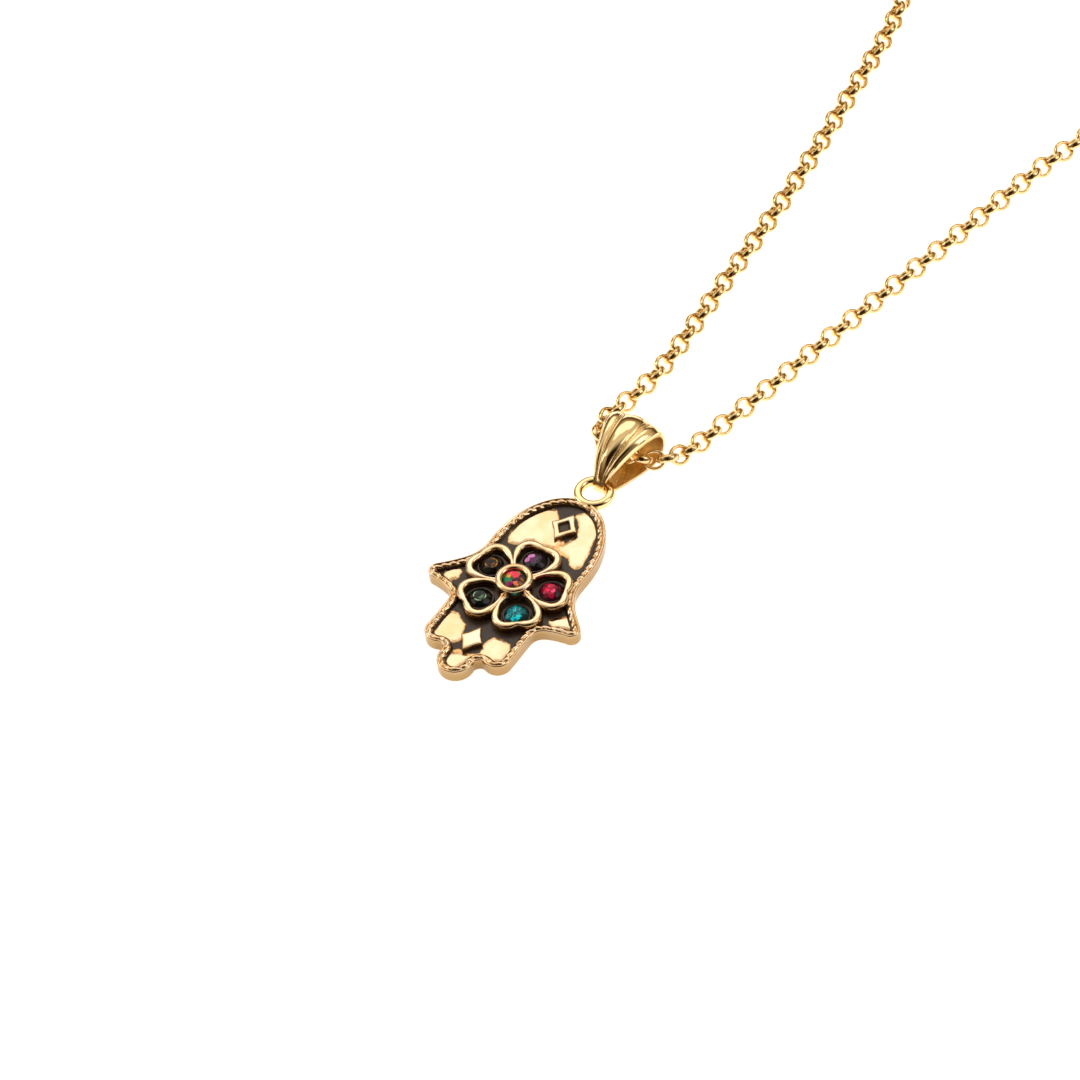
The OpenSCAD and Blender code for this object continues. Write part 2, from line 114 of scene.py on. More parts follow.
@dataclass(frozen=True)
class Graph:
    """Node tree of a material or of the world, with short ways to add the nodes that recur."""

    owner: Material | World

    def __post_init__(self) -> None:
        """Empties the tree."""
        self.owner.use_nodes = True
        self.owner.node_tree.nodes.clear()

    def add(self, kind: str, inputs: dict | None = None, **settings: object) -> Node:
        """Adds a node to this tree, as add_node does."""
        return add_node(self.owner.node_tree, kind, inputs, **settings)

    def place(self) -> NodeSocket:
        """Place on the object, in metres."""
        return self.add("TexCoord").outputs["Object"]

    def attribute(self, name: str) -> NodeSocket:
        """Value of a vertex attribute, which is 0 on a piece that doesn't have it."""
        return self.add("Attribute", attribute_name=name).outputs["Fac"]

    def noise(self, place: NodeSocket, size_mm: float, detail: float, result: str = "Fac") -> NodeSocket:
        """Noise whose patches have about this size."""
        return self.add("TexNoise", {"Vector": place, "Scale": 1 / (size_mm * MM), "Detail": detail}).outputs[result]

    def math(self, kind: str, a: object, b: object = 0.0, c: object = 0.0) -> NodeSocket:
        """Result of one sum."""
        return self.add("Math", {0: a, 1: b, 2: c}, operation=kind).outputs[0]

    def vector(self, kind: str, *parts: object) -> NodeSocket:
        """Result of one sum of vectors."""
        result = "Value" if kind in ("LENGTH", "DOT_PRODUCT") else "Vector"
        return self.add("VectorMath", dict(enumerate(parts)), operation=kind).outputs[result]

    def spread(self, value: NodeSocket, low: float = 0.0, high: float = 1.0, start: float = 0.0,
               end: float = 1.0, curve: str = "LINEAR") -> NodeSocket:
        """Value from low to high, carried over to start to end."""
        return self.add("MapRange", {"Value": value, "From Min": low, "From Max": high, "To Min": start,
                                     "To Max": end}, interpolation_type=curve).outputs["Result"]

    def mixed(self, share: NodeSocket, a: object, b: object) -> NodeSocket:
        """Colour between a and b, each a socket or a hex colour."""
        inputs = {key: linear(v) if isinstance(v, str) else v for key, v in (("Factor", share), (6, a), (7, b))}
        return self.add("Mix", inputs, data_type="RGBA").outputs[2]

    def ramp(self, value: NodeSocket, stops: Stops, mode: str = "LINEAR") -> NodeSocket:
        """Colour that a value has on a ramp.

        Args:
            value: The value, from 0 to 1.
            stops: Place and hex colour of each stop.
            mode: How the ramp goes from stop to stop.

        Returns:
            The colour.
        """
        node = self.add("ValToRGB", {"Fac": value})
        ramp = node.color_ramp
        ramp.interpolation = mode
        while len(ramp.elements) < len(stops):
            ramp.elements.new(1.0)
        for element, (place, colour) in zip(ramp.elements, stops):
            element.position = place
            element.color = linear(colour)
        return node.outputs["Color"]

    def bump(self, height: NodeSocket, relief: Pair, **below: NodeSocket) -> NodeSocket:
        """Normal of fine relief of this strength and depth in millimetres, on top of the one given as Normal."""
        return self.add("Bump", {"Height": height, "Strength": relief[0], "Distance": relief[1] * MM,
                                 **below}).outputs["Normal"]

    def surface(self, inputs: dict[str, object]) -> Material:
        """Ends a material in a Principled shader with these inputs, and hands the material over."""
        shader = self.add("BsdfPrincipled", inputs)
        self.add("OutputMaterial", {"Surface": shader.outputs["BSDF"]})
        return self.owner


@dataclass(frozen=True)
class AntiquedGold:
    """Cast brass, gold plated, then dipped in a brown-black patina that was rubbed off the high places.

    It gives the eye warm satin gold with a fine cast grain, and a dark glossy brown in each groove with a ragged
    border. The vertex attribute "patina" says where it lies: 0 is bare gold, 1 is full patina. The attribute "shade"
    is painted shade: it darkens bare gold towards a dull amber on the back, the ground and the plate's sides, most in
    the outline's hollows, and on the petals' rim flanks and cups.
    """

    name: str = "antiqued_gold_on_cast_brass"
    # Gold where it is buffed most and less, amber next to the patina, and the dull gold that painted shade goes to
    gold: str = "#F8DFC0"
    less_buffed: str = "#F0CFA2"
    amber: str = "#D0A060"
    painted_shade_gold: str = "#A07C46"
    patina: str = "#38291F"
    roughness: float = 0.16
    patina_roughness: float = 0.3
    patina_metal: float = 0.1
    # Cast grain of about 0.25 mm, coarser than the real sand-fine grain so that it shows
    grain_mm: float = 0.25
    grain_relief: Pair = (0.25, 0.02)
    grain_roughness: Pair = (-0.05, 0.1)
    # Slow change of tone over about 2.2 mm, from buffing by hand, and where the noise is less and most buffed
    cloud_mm: float = 2.2
    cloud_stops: Pair = (0.36, 0.62)
    # Ragged border of the patina, in patches of about 0.45 mm, and how much patina it adds or takes
    border_mm: float = 0.45
    border_sway: float = 0.13
    # Amounts of patina between which gold turns dark, and between which it turns amber
    darkening: Pair = (0.4, 0.66)
    ambering: Pair = (0.12, 0.45)

    def material(self) -> Material:
        """Builds the node tree: border noise added to the attribute decides between gold and patina.

        Returns:
            The material.
        """
        graph = Graph(bpy.data.materials.new(self.name))
        place = graph.place()
        sway = graph.spread(graph.noise(place, self.border_mm, 3.0), *NOISE, -self.border_sway, self.border_sway)
        total = graph.math("ADD", graph.attribute("patina"), sway)
        mask = graph.spread(total, *self.darkening, curve="SMOOTHSTEP")
        grain = graph.noise(place, self.grain_mm, 3.0)
        tone = graph.ramp(graph.noise(place, self.cloud_mm, 1.0),
                          tuple(zip(self.cloud_stops, (self.less_buffed, self.gold))))
        warm = graph.mixed(graph.spread(total, *self.ambering), tone, self.amber)
        # Painted shade: the "shade" attribute darkens the gold on the sides, in the hollows and on the petals' flanks
        side = graph.mixed(graph.attribute("shade"), warm, self.painted_shade_gold)
        rough = graph.math("ADD", graph.spread(mask, start=self.roughness, end=self.patina_roughness),
                           graph.spread(grain, *NOISE, *self.grain_roughness))
        return graph.surface({
            "Base Color": graph.mixed(mask, side, self.patina), "Roughness": rough,
            "Metallic": graph.spread(mask, start=1.0, end=self.patina_metal),
            "Normal": graph.bump(grain, self.grain_relief)})


@dataclass(frozen=True)
class PolishedGold:
    """Gold plate polished on a buffing wheel.

    It gives the eye a mirror gloss with cream highlights, dark reflections and amber where gold faces gold. Faint
    waves from the wheel bend the reflections. The vertex attribute "rough" brings back the cast grain: 0 is
    polished, 1 is as cast.
    """

    name: str = "polished_gold_plate"
    gold: str = "#F5DAA6"
    as_cast: str = "#ECC57C"
    roughness: float = 0.1
    cast_roughness: float = 0.34
    # Beads of cast texture of about 0.16 mm, from their round tops to their feet, and their strength and depth
    bead_mm: float = 0.16
    bead_slope: Pair = (0.1, 0.7)
    bead_relief: Pair = (0.6, 0.06)
    # Waves left by the buffing wheel, about 0.9 mm apart
    wave_mm: float = 0.9
    wave_relief: Pair = (0.05, 0.05)

    def material(self) -> Material:
        """Builds the node tree: polished gold, with beads and a rougher tone where the attribute says so.

        Returns:
            The material.
        """
        graph = Graph(bpy.data.materials.new(self.name))
        place, amount = graph.place(), graph.attribute("rough")
        beads = graph.add("TexVoronoi", {"Vector": place, "Scale": 1 / (self.bead_mm * MM)}, feature="SMOOTH_F1")
        high = graph.spread(beads.outputs["Distance"], *self.bead_slope, 1.0, 0.0)
        height = graph.math("MULTIPLY", high, amount)
        waves = graph.bump(graph.noise(place, self.wave_mm, 2.0), self.wave_relief)
        return graph.surface({
            "Base Color": graph.mixed(amount, self.gold, self.as_cast), "Metallic": 1.0,
            "Roughness": graph.spread(amount, start=self.roughness, end=self.cast_roughness),
            "Normal": graph.bump(height, self.bead_relief, Normal=waves)})


@dataclass(frozen=True)
class Crystal:
    """Cut glass with a foil behind it, as a chaton has.

    It gives the eye a glossy stone with its light painted in: a dark border of painted shade, and facets that each
    show another tone in the middle, the glass's own colour mixed with painted reflections from near black to bright
    painted glints, all also emitted as a painted glow.
    """

    name: str
    # Place of the stone's middle, in millimetres
    centre: Pair
    # Tones of the facets: the glass's own colour, mixed with painted reflections and painted glints
    tones: Stops
    # Apparent size of a facet, in millimetres
    facet_mm: float = 0.5
    # Strength of a painted glow: the painted colour is also emitted, though the stone is no lamp
    glow: float = 0.2
    # Colour of the painted shade on the border, and how far the bright middle reaches
    dark: str = "#1A1214"
    bright_mm: float = 0.75
    # How much a facet's tone depends on its direction from the middle, where 0 is chance alone
    by_direction: float = 0.0
    # Painted glints: bright lines along the facets' edges, on six facets in ten, their width as a share of a facet
    glint: str = "#FFFFFF"
    glint_width: float = 0.0
    glint_above: float = 0.4
    # Radius of a thin painted reflection arc, how far its solid middle and its edge reach to either side, and its
    # colour
    arc_mm: float = 0.0
    arc_fade_mm: Pair = (0.02, 0.08)
    arc_glint_colour: str = "#FFFFFF"
    # How far the pattern is moved, which picks other facets
    shift: float = 0.0
    # How far the facets' borders are bent, and over what length
    bend_mm: float = 0.22
    ripple_mm: float = 0.4
    # Width over which the bright middle fades into the painted shade of the border, and size of the gaps in the
    # painted reflection arc and the noise where they are
    fade_mm: float = 0.3
    arc_gap_mm: float = 0.9
    arc_gap: Pair = (0.46, 0.56)
    # Polish and refraction of the glass, and how much of the lights it mirrors
    roughness: float = 0.05
    ior: float = 1.5
    mirrored: float = 0.2

    def material(self) -> Material:
        """Builds the node tree: each cell of a Voronoi pattern takes its tone from a stepped ramp.

        Returns:
            The material.
        """
        graph = Graph(bpy.data.materials.new(self.name))
        place = graph.place()
        local = graph.vector("SUBTRACT", place, (self.centre[0] * MM, self.centre[1] * MM, 0.0))
        bent = graph.vector("MULTIPLY_ADD", graph.noise(place, self.ripple_mm, 1.0, "Color"),
                            (self.bend_mm * MM,) * 3, local)
        aside = (self.shift * MM, 0.0, 0.0)
        pattern = {"Vector": graph.vector("ADD", bent, aside), "Scale": 1 / (self.facet_mm * MM)}
        cells = graph.add("TexVoronoi", pattern)
        edges = graph.add("TexVoronoi", pattern, feature="DISTANCE_TO_EDGE")
        draw = graph.add("SeparateColor", {"Color": cells.outputs["Color"]})
        spot = graph.add("SeparateXYZ", {"Vector": graph.vector("SUBTRACT", cells.outputs["Position"], aside)})
        x, y = spot.outputs["X"], spot.outputs["Y"]
        way = graph.spread(graph.math("ARCTAN2", y, x), -np.pi, np.pi, 0.0, self.by_direction)
        pick = graph.math("FRACT", graph.math("MULTIPLY_ADD", draw.outputs[0], 1 - 0.9 * self.by_direction, way))
        # Painted glints along the edges of six facets in ten
        line = graph.spread(edges.outputs["Distance"], 0.0, max(self.glint_width, 0.001), 1.0, 0.0)
        lit = graph.math("MULTIPLY", line, graph.math("GREATER_THAN", draw.outputs[1], self.glint_above))
        colour = graph.mixed(lit, graph.ramp(pick, self.tones, "CONSTANT"), self.glint)
        far = graph.math("SQRT", graph.math("MULTIPLY_ADD", x, x, graph.math("MULTIPLY", y, y)))
        # Painted shade: outside the bright middle the stone darkens to its border colour
        border = graph.spread(far, self.bright_mm * MM, (self.bright_mm + self.fade_mm) * MM)
        colour = graph.mixed(border, colour, self.dark)
        # Painted reflection: a thin bright arc round the middle, broken by noise
        if self.arc_mm:
            reach = graph.vector("LENGTH", graph.vector("MULTIPLY", local, (1.0, 1.0, 0.0)))
            off = graph.math("ABSOLUTE", graph.math("SUBTRACT", reach, self.arc_mm * MM))
            whole = graph.spread(graph.noise(place, self.arc_gap_mm, 1.0), *self.arc_gap)
            near = graph.spread(off, *(reach * MM for reach in self.arc_fade_mm), 1.0, 0.0)
            colour = graph.mixed(graph.math("MULTIPLY", near, whole), colour, self.arc_glint_colour)
        # Painted glow: the painted colour is emitted as well as reflected
        return graph.surface({
            "Base Color": colour, "Roughness": self.roughness, "IOR": self.ior, "Specular IOR Level": self.mirrored,
            "Emission Color": colour, "Emission Strength": self.glow})


@dataclass(frozen=True)
class WhitePaper:
    """Matt white background paper, lit from below as on a product table, so it stays white under the piece."""

    name: str = "white_background_paper"
    colour: str = "#FAFAF9"
    tooth_mm: float = 2.0
    glow: float = 0.88

    def material(self) -> Material:
        """Builds the node tree: a faint tooth of 2 mm in the paper, and its own light."""
        graph = Graph(bpy.data.materials.new(self.name))
        tooth = graph.noise(graph.place(), self.tooth_mm, 2.0)
        return graph.surface({
            "Base Color": linear(self.colour), "Roughness": graph.spread(tooth, start=0.8, end=1.0),
            "Emission Color": linear("#FFFFFF"), "Emission Strength": self.glow})


@dataclass
class Shell:
    """Points, faces and vertex values of a surface under construction, in millimetres."""

    points: Array
    faces: list[Array]
    values: dict[str, Array] = field(default_factory=dict)

    def joined(self, other: "Shell") -> "Shell":
        """Puts another surface beside this one.

        Args:
            other: Surface to add, which has the same kinds of vertex values.

        Returns:
            One surface that holds both.
        """
        faces = self.faces + [f + len(self.points) for f in other.faces]
        values = {key: np.concatenate([value, other.values[key]]) for key, value in self.values.items()}
        return Shell(np.concatenate([self.points, other.points]), faces, values)

    def outward(self) -> "Shell":
        """Turns every face round where they point inwards, told by the sign of the volume that they enclose.

        Returns:
            The surface, its faces turned outwards.
        """
        volume = 0.0
        for face in self.faces:
            a, *rest = (self.points[face[:, k]] for k in range(face.shape[1]))
            volume += sum((a * np.cross(b, c)).sum() for b, c in zip(rest, rest[1:]))
        return self if volume >= 0 else Shell(self.points, [f[:, ::-1] for f in self.faces], self.values)

    def piece(self, name: str, material: Material, sharp_deg: float = 50.0) -> Object:
        """Makes the Blender object, at the origin, with its place in its mesh.

        Args:
            name: Name of the object.
            material: Its material.
            sharp_deg: Edges that turn by more than this stay sharp.

        Returns:
            The object, linked to the scene.
        """
        mesh = bpy.data.meshes.new(name)
        mesh.from_pydata((self.points * MM).tolist(), [], [q for f in self.faces for q in f.tolist()])
        for key, value in self.values.items():
            mesh.attributes.new(key, "FLOAT", "POINT").data.foreach_set("value", value.astype(np.float32))
        mesh.materials.append(material)
        mesh.shade_smooth()
        mesh.set_sharp_from_angle(angle=np.radians(sharp_deg))
        mesh.update()
        return new_object(name, mesh)


def new_object(name: str, data: ID, axes: tuple[Array, Array, Array] | None = None,
               spot: Array | None = None) -> Object:
    """Adds an object to the scene.

    Args:
        name: Name of the object.
        data: Its mesh, light or camera.
        axes: Directions of its own x, y and z, or None where it isn't turned.
        spot: Where it stands, in metres, or None for the origin.

    Returns:
        The object.
    """
    made = bpy.data.objects.new(name, data)
    if axes is not None:
        place = np.eye(4)
        place[:3] = np.stack([*axes, spot], -1)
        made.matrix_world = Matrix(place.tolist())
    bpy.context.scene.collection.objects.link(made)
    return made


def around(count: int, start: float = 0.0) -> Array:
    """Equal steps of a full turn, in radians, from a share of a step on."""
    return (np.arange(count) + start) * 2 * np.pi / count


def unit(vectors: Array) -> Array:
    """Vectors divided by their lengths."""
    return vectors / np.linalg.norm(vectors, axis=-1, keepdims=True)


def through_rings(rows: Array, wrap: bool = False, first: list[float] | None = None,
                  last: list[float] | None = None, **values: Array) -> Shell:
    """Surface through closed rings of points, with four-sided faces, and triangles at the poles.

    Args:
        rows: The rings, with axes for the ring, the point in it, and x, y and z.
        wrap: Whether the last ring joins the first.
        first: Pole that closes the first ring.
        last: Pole that closes the last ring.
        values: Vertex values by name, of the rings' points in order and then of the poles.

    Returns:
        The surface, its faces turned outwards.
    """
    count, n = rows.shape[:2]
    ring, follow = np.arange(n), (np.arange(n) + 1) % n
    upper = n * np.arange(count if wrap else count - 1)[:, None]
    lower = (upper + n) % (n * count)
    faces = [np.stack([upper + ring, lower + ring, lower + follow, upper + follow], -1).reshape(-1, 4)]
    points = [rows.reshape(-1, 3)]
    if first is not None:
        faces.append(np.stack([ring, follow, np.full(n, n * count)], -1))
        points.append([first])
    if last is not None:
        end = n * count - n
        faces.append(np.stack([np.full(n, sum(map(len, points))), follow + end, ring + end], -1))
        points.append([last])
    return Shell(np.concatenate(points), faces, values).outward()


def hoop(reach: Array, height: Array, count: int, narrow: float = 0.0) -> Shell:
    """A section carried round the z axis.

    Args:
        reach: Distance of each point of the section from the axis.
        height: Height of each point.
        count: Number of steps round the axis.
        narrow: How much less the reach is along y than along x.

    Returns:
        The surface.
    """
    a = around(count)
    rows = np.stack([np.outer(np.cos(a), reach), np.outer(np.sin(a), reach - narrow),
                     np.repeat(height[None], count, 0)], -1)
    return through_rings(rows, wrap=True)


def mound(rings: list[tuple], count: int, centre: Pair = (0.0, 0.0), turn_deg: float = 0.0) -> Shell:
    """Rings about a centre, closed by a pole. A ring's point k lies at the ring's reach in direction k.

    Args:
        rings: Reach, height, patina and perhaps shade of each ring, as numbers or as arrays round the ring. The
            last one is the pole, with a reach of 0.
        count: Number of points in a ring.
        centre: The centre's x and y.
        turn_deg: Turn of the whole about the z axis, in degrees.

    Returns:
        The surface.
    """
    a = around(count)
    table = np.array([[value + 0 * a for value in ring] for ring in rings])
    turn = np.radians(turn_deg)
    spin = np.array([[np.cos(turn), np.sin(turn)], [-np.sin(turn), np.cos(turn)]])
    flat = np.stack([centre[0] + table[:, 0] * np.cos(a), centre[1] + table[:, 0] * np.sin(a)], -1) @ spin
    rows = np.concatenate([flat, table[:, 1, :, None]], -1)
    values = {key: np.append(table[:-1, k], table[-1, k, 0])
              for k, key in enumerate(("patina", "shade"), 2) if k < table.shape[1]}
    return through_rings(rows[:-1], last=rows[-1, 0], **values)


def smoothstep(value: Array, low: float, high: float) -> Array:
    """Rises from 0 at low to 1 at high along 3t squared less 2t cubed."""
    t = np.clip((value - low) / (high - low), 0, 1)
    return t * t * (3 - 2 * t)


def rounded(ring: Array, sigma: float) -> Array:
    """Smooths values on a closed ring.

    Args:
        ring: Values, the first axis along the ring.
        sigma: Width of the bell curve that each value is averaged with, in points.

    Returns:
        The smoothed values.
    """
    n = len(ring)
    step = (np.arange(n) + n // 2) % n - n // 2
    bell = np.exp(-0.5 * (step / sigma) ** 2)
    spectrum = np.fft.fft(bell / bell.sum())
    if ring.ndim == 1:
        return np.fft.ifft(np.fft.fft(ring) * spectrum).real
    return np.fft.ifft(np.fft.fft(ring, axis=0) * spectrum[:, None], axis=0).real


def arc(centre: Array, radius: float, start: float, end: float, count: int) -> Array:
    """Points on an arc: centre plus radius times (cosine, sine) of equally spaced angles, in degrees."""
    a = np.radians(np.linspace(start, end, count))
    return np.asarray(centre) + radius * np.stack([np.cos(a), np.sin(a)], -1)


def bezier(a: Array, b: Array, c: Array, d: Array, count: int) -> Array:
    """Points on the cubic curve a u3 + 3 b u2 t + 3 c u t2 + d t3, with u one less t."""
    t = np.linspace(0, 1, count)[:, None]
    u = 1 - t
    return a * u ** 3 + 3 * b * u * u * t + 3 * c * u * t * t + d * t ** 3


def crossing(a: Array, ra: float, b: Array, rb: float) -> Array:
    """Where circles (a, ra) and (b, rb) cross, to the left of the line from a to b."""
    gap = np.linalg.norm(b - a)
    k = (gap * gap + ra * ra - rb * rb) / (2 * gap)
    u = (b - a) / gap
    return a + u * k + np.array([-u[1], u[0]]) * np.sqrt(ra * ra - k * k)


def heading(v: Array) -> float:
    """Direction of a vector, in degrees from +X."""
    return float(np.degrees(np.arctan2(v[1], v[0])))


@dataclass(frozen=True)
class HandOutline:
    """Outline of the cast hand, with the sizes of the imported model, in millimetres.

    The rounded dome is the wrist's side, with the loop. A thumb points out at each side, and three fingers down.
    """

    dome_w: float = 11.3
    dome_y: float = 4.8
    dome_rise: float = 8.2
    dome_side: float = 1.2
    thumb_span: float = 17.9
    thumb_drop: float = 2.0
    thumb_r: float = 1.0
    crotch_drop: float = 2.1
    crotch_inset: float = 0.05
    crotch_round: float = 0.4
    fingers_w: float = 10.0
    side_tip_r: float = 1.55
    side_tip_y: float = 10.0
    mid_tip_r: float = 1.9
    mid_tip_y: float = 12.7
    valley_r: float = 0.65

    def half(self) -> Array:
        """Right half, from the top of the dome round the thumb and the side fingertip to the middle fingertip.

        Returns:
            Points of the half outline.
        """
        side = np.array([self.fingers_w / 2 - self.side_tip_r, self.side_tip_r - self.side_tip_y])
        mid = np.array([0, self.mid_tip_r - self.mid_tip_y])
        valley = crossing(side, self.side_tip_r + self.valley_r, mid, self.mid_tip_r + self.valley_r)
        thumb = np.array([self.thumb_span / 2 - self.thumb_r, -self.thumb_drop])
        crotch = np.array([self.fingers_w / 2 - self.crotch_inset, thumb[1] - self.crotch_drop])
        dome_end = np.array([self.dome_w / 2, self.dome_y - self.dome_side])
        a = np.linspace(0, np.pi / 2, 120)
        r = self.thumb_r
        # The bends at a thumb are curves whose handles are in thumb radii, and those at a crotch in crotch radii
        return np.concatenate([
            np.stack([self.dome_w / 2 * np.sin(a), self.dome_y + self.dome_rise * np.cos(a)], -1),
            bezier(dome_end, dome_end - [0, 1.33 * self.dome_side], thumb + r * np.array([-1.85, 3.05]),
                   thumb + r * np.array([0.743, 0.669]), 80),
            arc(thumb, r, 40, -98, 60),
            bezier(thumb + r * np.array([-1.05, -1.16]), thumb + r * np.array([-2.3, -1.47]),
                   crotch + self.crotch_round * np.array([0.2, 0.9]),
                   crotch + self.crotch_round * np.array([0.04, -1.8]), 50),
            arc(side, self.side_tip_r, 0, heading(valley - side), 60),
            arc(valley, self.valley_r, heading(side - valley), heading(mid - valley) % 360, 40)[1:-1],
            arc(mid, self.mid_tip_r, heading(valley - mid), -90, 60)])

    def path(self, count: int = 960) -> tuple[Array, Array]:
        """Closed outline in equal steps, with its outward normals.

        Args:
            count: Number of points.

        Returns:
            Points and normals, clockwise from the top.
        """
        half = self.half()
        ring = np.concatenate([half, half[-2:0:-1] * [-1, 1]])
        reach = np.concatenate([[0], np.cumsum(np.linalg.norm(np.roll(ring, -1, 0) - ring, axis=1))])
        closed = np.concatenate([ring, ring[:1]])
        s = np.arange(count) * reach[-1] / count
        even = np.stack([np.interp(s, reach, closed[:, k]) for k in (0, 1)], -1)
        even = rounded(even, 1.4)
        t = unit(np.roll(even, -1, 0) - np.roll(even, 1, 0))
        return even, rounded(np.stack([-t[:, 1], t[:, 0]], -1), 1.0)


def inside_distance(points: Array, corners: Array) -> Array:
    """How far points lie inside a polygon.

    Distance to the nearest side, taken as positive inside, where a ray to the right crosses an odd number of
    sides, and negative outside.

    Args:
        points: Array of points, the last axis holds x and y.
        corners: The polygon's corners in order.

    Returns:
        The signed distances.
    """
    a, b = corners, np.roll(corners, -1, 0)
    side = b - a
    to = points[..., None, :] - a
    t = np.clip((to * side).sum(-1) / (side * side).sum(-1), 0, 1)
    gap = np.linalg.norm(to - t[..., None] * side, axis=-1).min(-1)
    crosses = (a[:, 1] > points[..., None, 1]) != (b[:, 1] > points[..., None, 1])
    with np.errstate(divide="ignore", invalid="ignore"):
        at = a[:, 0] + (points[..., None, 1] - a[:, 1]) * side[:, 0] / side[:, 1]
    odd = (crosses & (points[..., None, 0] < at)).sum(-1) % 2 == 1
    return np.where(odd, gap, -gap)


@dataclass(frozen=True)
class CastHand:
    """The cast plate: its rim, rope edge, ground, flower, bezel, diamonds and hanging loop, in millimetres."""

    outline: HandOutline = HandOutline()
    plate_t: float = 1.6
    ground_z: float = 1.1
    # How deep the ground is lowered under the stones, and between which radii
    pit: float = 0.5
    pit_edge: Pair = (1.62, 1.5)
    back_round: float = 0.3
    front_round: float = 0.14
    # Painted shade on the plate's upright sides, and how much more of it in the outline's hollows
    side_shade: float = 0.82
    hollow_shade: float = 0.16
    # Painted shade on the back, on the ground, and on the petals' rim flanks, wall feet and cups
    back_shade: float = 0.3
    ground_shade: float = 0.15
    petal_shade: float = 0.9
    # Inset, drop below the plate's top, and patina of the rim's inner side, where the rope lies
    channel: tuple[Point, ...] = (
        (0.2, 0.05, 0.1), (0.24, 0.14, 0.2), (0.55, 0.28, 0.5), (0.84, 0.17, 0.8), (0.9, 0.3, 0.95))
    # Inset of the inner side's foot, and its height above the ground
    channel_foot: Pair = (0.94, 0.04)
    # Heights of the rings on the plate's upright sides
    side_rings: Pair = (0.7, 1.05)
    # Sine of the outline's turn over twelve steps, between which a place counts as a hollow
    hollow_turn: Pair = (0.03, 0.5)
    # First and last share of the even rings of the ground, their number, and the two rings next to the pole
    ground_rings: tuple[float, float, int] = (0.985, 0.3, 64)
    ground_core: Pair = (0.2, 0.1)
    rope_pitch: float = 0.86
    rope_r: float = 0.36
    rope_inset: float = 0.51
    rope_proud: float = 0.06
    # Depth of the groove between strands, as a share of the radius, and how full the strands are
    rope_twist: float = 0.3
    rope_power: float = 0.8
    # How much the radius wanders, in two waves, and the waves' speeds as shares of the strands' own
    rope_wander: float = 0.08
    rope_waves: Pair = (0.37, 1.13)
    # Shares of the radius between which a place counts as groove. Patina of a groove, what the inner side adds to
    # it, and what the inner side has anywhere
    rope_groove: Pair = (0.74, 0.84)
    rope_stain: Point = (0.5, 0.4, 0.08)
    # How far a place on the tube points inwards, between which it counts as the inner side
    rope_inner: Pair = (-0.2, 0.8)
    # Distance of the stones from the flower's centre, then a petal's two lobes, flank, rim, heights and stone
    petal_ring_r: float = 3.76
    lobe_r: float = 1.65
    lobe_out: float = 4.15
    lobe_side: float = 0.95
    flank_deg: float = 36.0
    petal_rim: float = 0.84
    petal_top: float = 2.1
    petal_floor: float = 1.2
    stone_r: float = 1.2
    stone_z: float = 1.51
    seat_top: float = 1.55
    seat_w: float = 0.2
    bezel_r: float = 1.92
    bezel_hole: float = 1.22
    bezel_top: float = 2.95
    frame_diamond_y: float = 9.05
    frame_diamond: Pair = (1.5, 1.9)
    frame_opening: Pair = (0.7, 0.85)
    solid_diamond_y: float = -7.9
    solid_diamond: Pair = (1.275, 1.725)
    loop_y: float = 14.6
    loop_z: float = 1.16
    loop_r: float = 1.67
    loop_wire: Pair = (0.48, 0.5)
    # How much wider the bright patches are than their polygons, how much they stand up, and where they rise
    patch_grow: float = 0.24
    patch_rise: float = 0.07
    patch_slope: Pair = (-0.1, 0.45)
    # Patina on the border of a bright and of an amber place, width over which it fades, and the least amber keeps
    patch_border: float = 0.5
    patch_fade: float = 0.5
    amber_border: float = 0.62
    amber_fade: float = 0.7
    amber_least: float = 0.36
    # Places of the ground that were rubbed bright, as polygons of x and y
    patches: tuple[Pairs, ...] = (
        ((-3.9, 5.0), (-4.4, 6.0), (-4.4, 7.5), (-4.1, 8.9), (-3.5, 9.9), (-2.8, 10.5), (-2.1, 10.6), (-1.5, 9.9),
         (-1.0, 9.2), (-0.4, 8.4), (0.3, 7.4), (0.3, 6.6), (-0.9, 6.3), (-1.9, 6.5), (-2.7, 6.0), (-3.0, 5.3)),
        ((0.2, 11.2), (0.6, 11.7), (1.4, 11.6), (2.3, 11.0), (3.0, 10.0), (3.4, 8.5), (3.8, 7.1), (4.0, 5.7),
         (3.8, 5.3), (3.1, 5.5), (2.6, 6.2), (1.7, 6.5), (1.0, 6.8), (1.4, 7.6), (1.8, 8.6), (1.4, 10.0),
         (0.7, 10.9)),
        ((-7.3, -1.4), (-7.1, -0.7), (-6.5, -0.6), (-6.1, -0.9), (-6.0, -1.6), (-6.5, -2.1), (-7.0, -1.9)),
        ((5.5, -1.9), (5.8, -1.4), (6.4, -0.9), (7.0, -0.7), (7.4, -1.1), (7.5, -1.7), (6.9, -1.9), (6.2, -2.2)),
        ((-3.7, -9.1), (-4.0, -8.1), (-4.2, -6.8), (-3.9, -5.8), (-3.3, -5.7), (-2.6, -6.2), (-2.0, -6.5),
         (-1.6, -7.5), (-1.3, -8.0), (-1.4, -8.6), (-2.1, -9.0), (-3.0, -9.1)),
        ((1.7, -8.3), (1.5, -7.4), (1.8, -6.6), (2.5, -6.5), (3.4, -6.6), (3.9, -7.4), (3.8, -8.6), (3.2, -8.9),
         (2.4, -8.8), (1.8, -8.7)),
        ((-0.9, -11.2), (-1.0, -10.5), (-0.4, -10.1), (0.2, -9.9), (0.8, -9.8), (0.7, -10.7), (0.4, -11.6),
         (-0.1, -11.9), (-0.7, -11.7)))
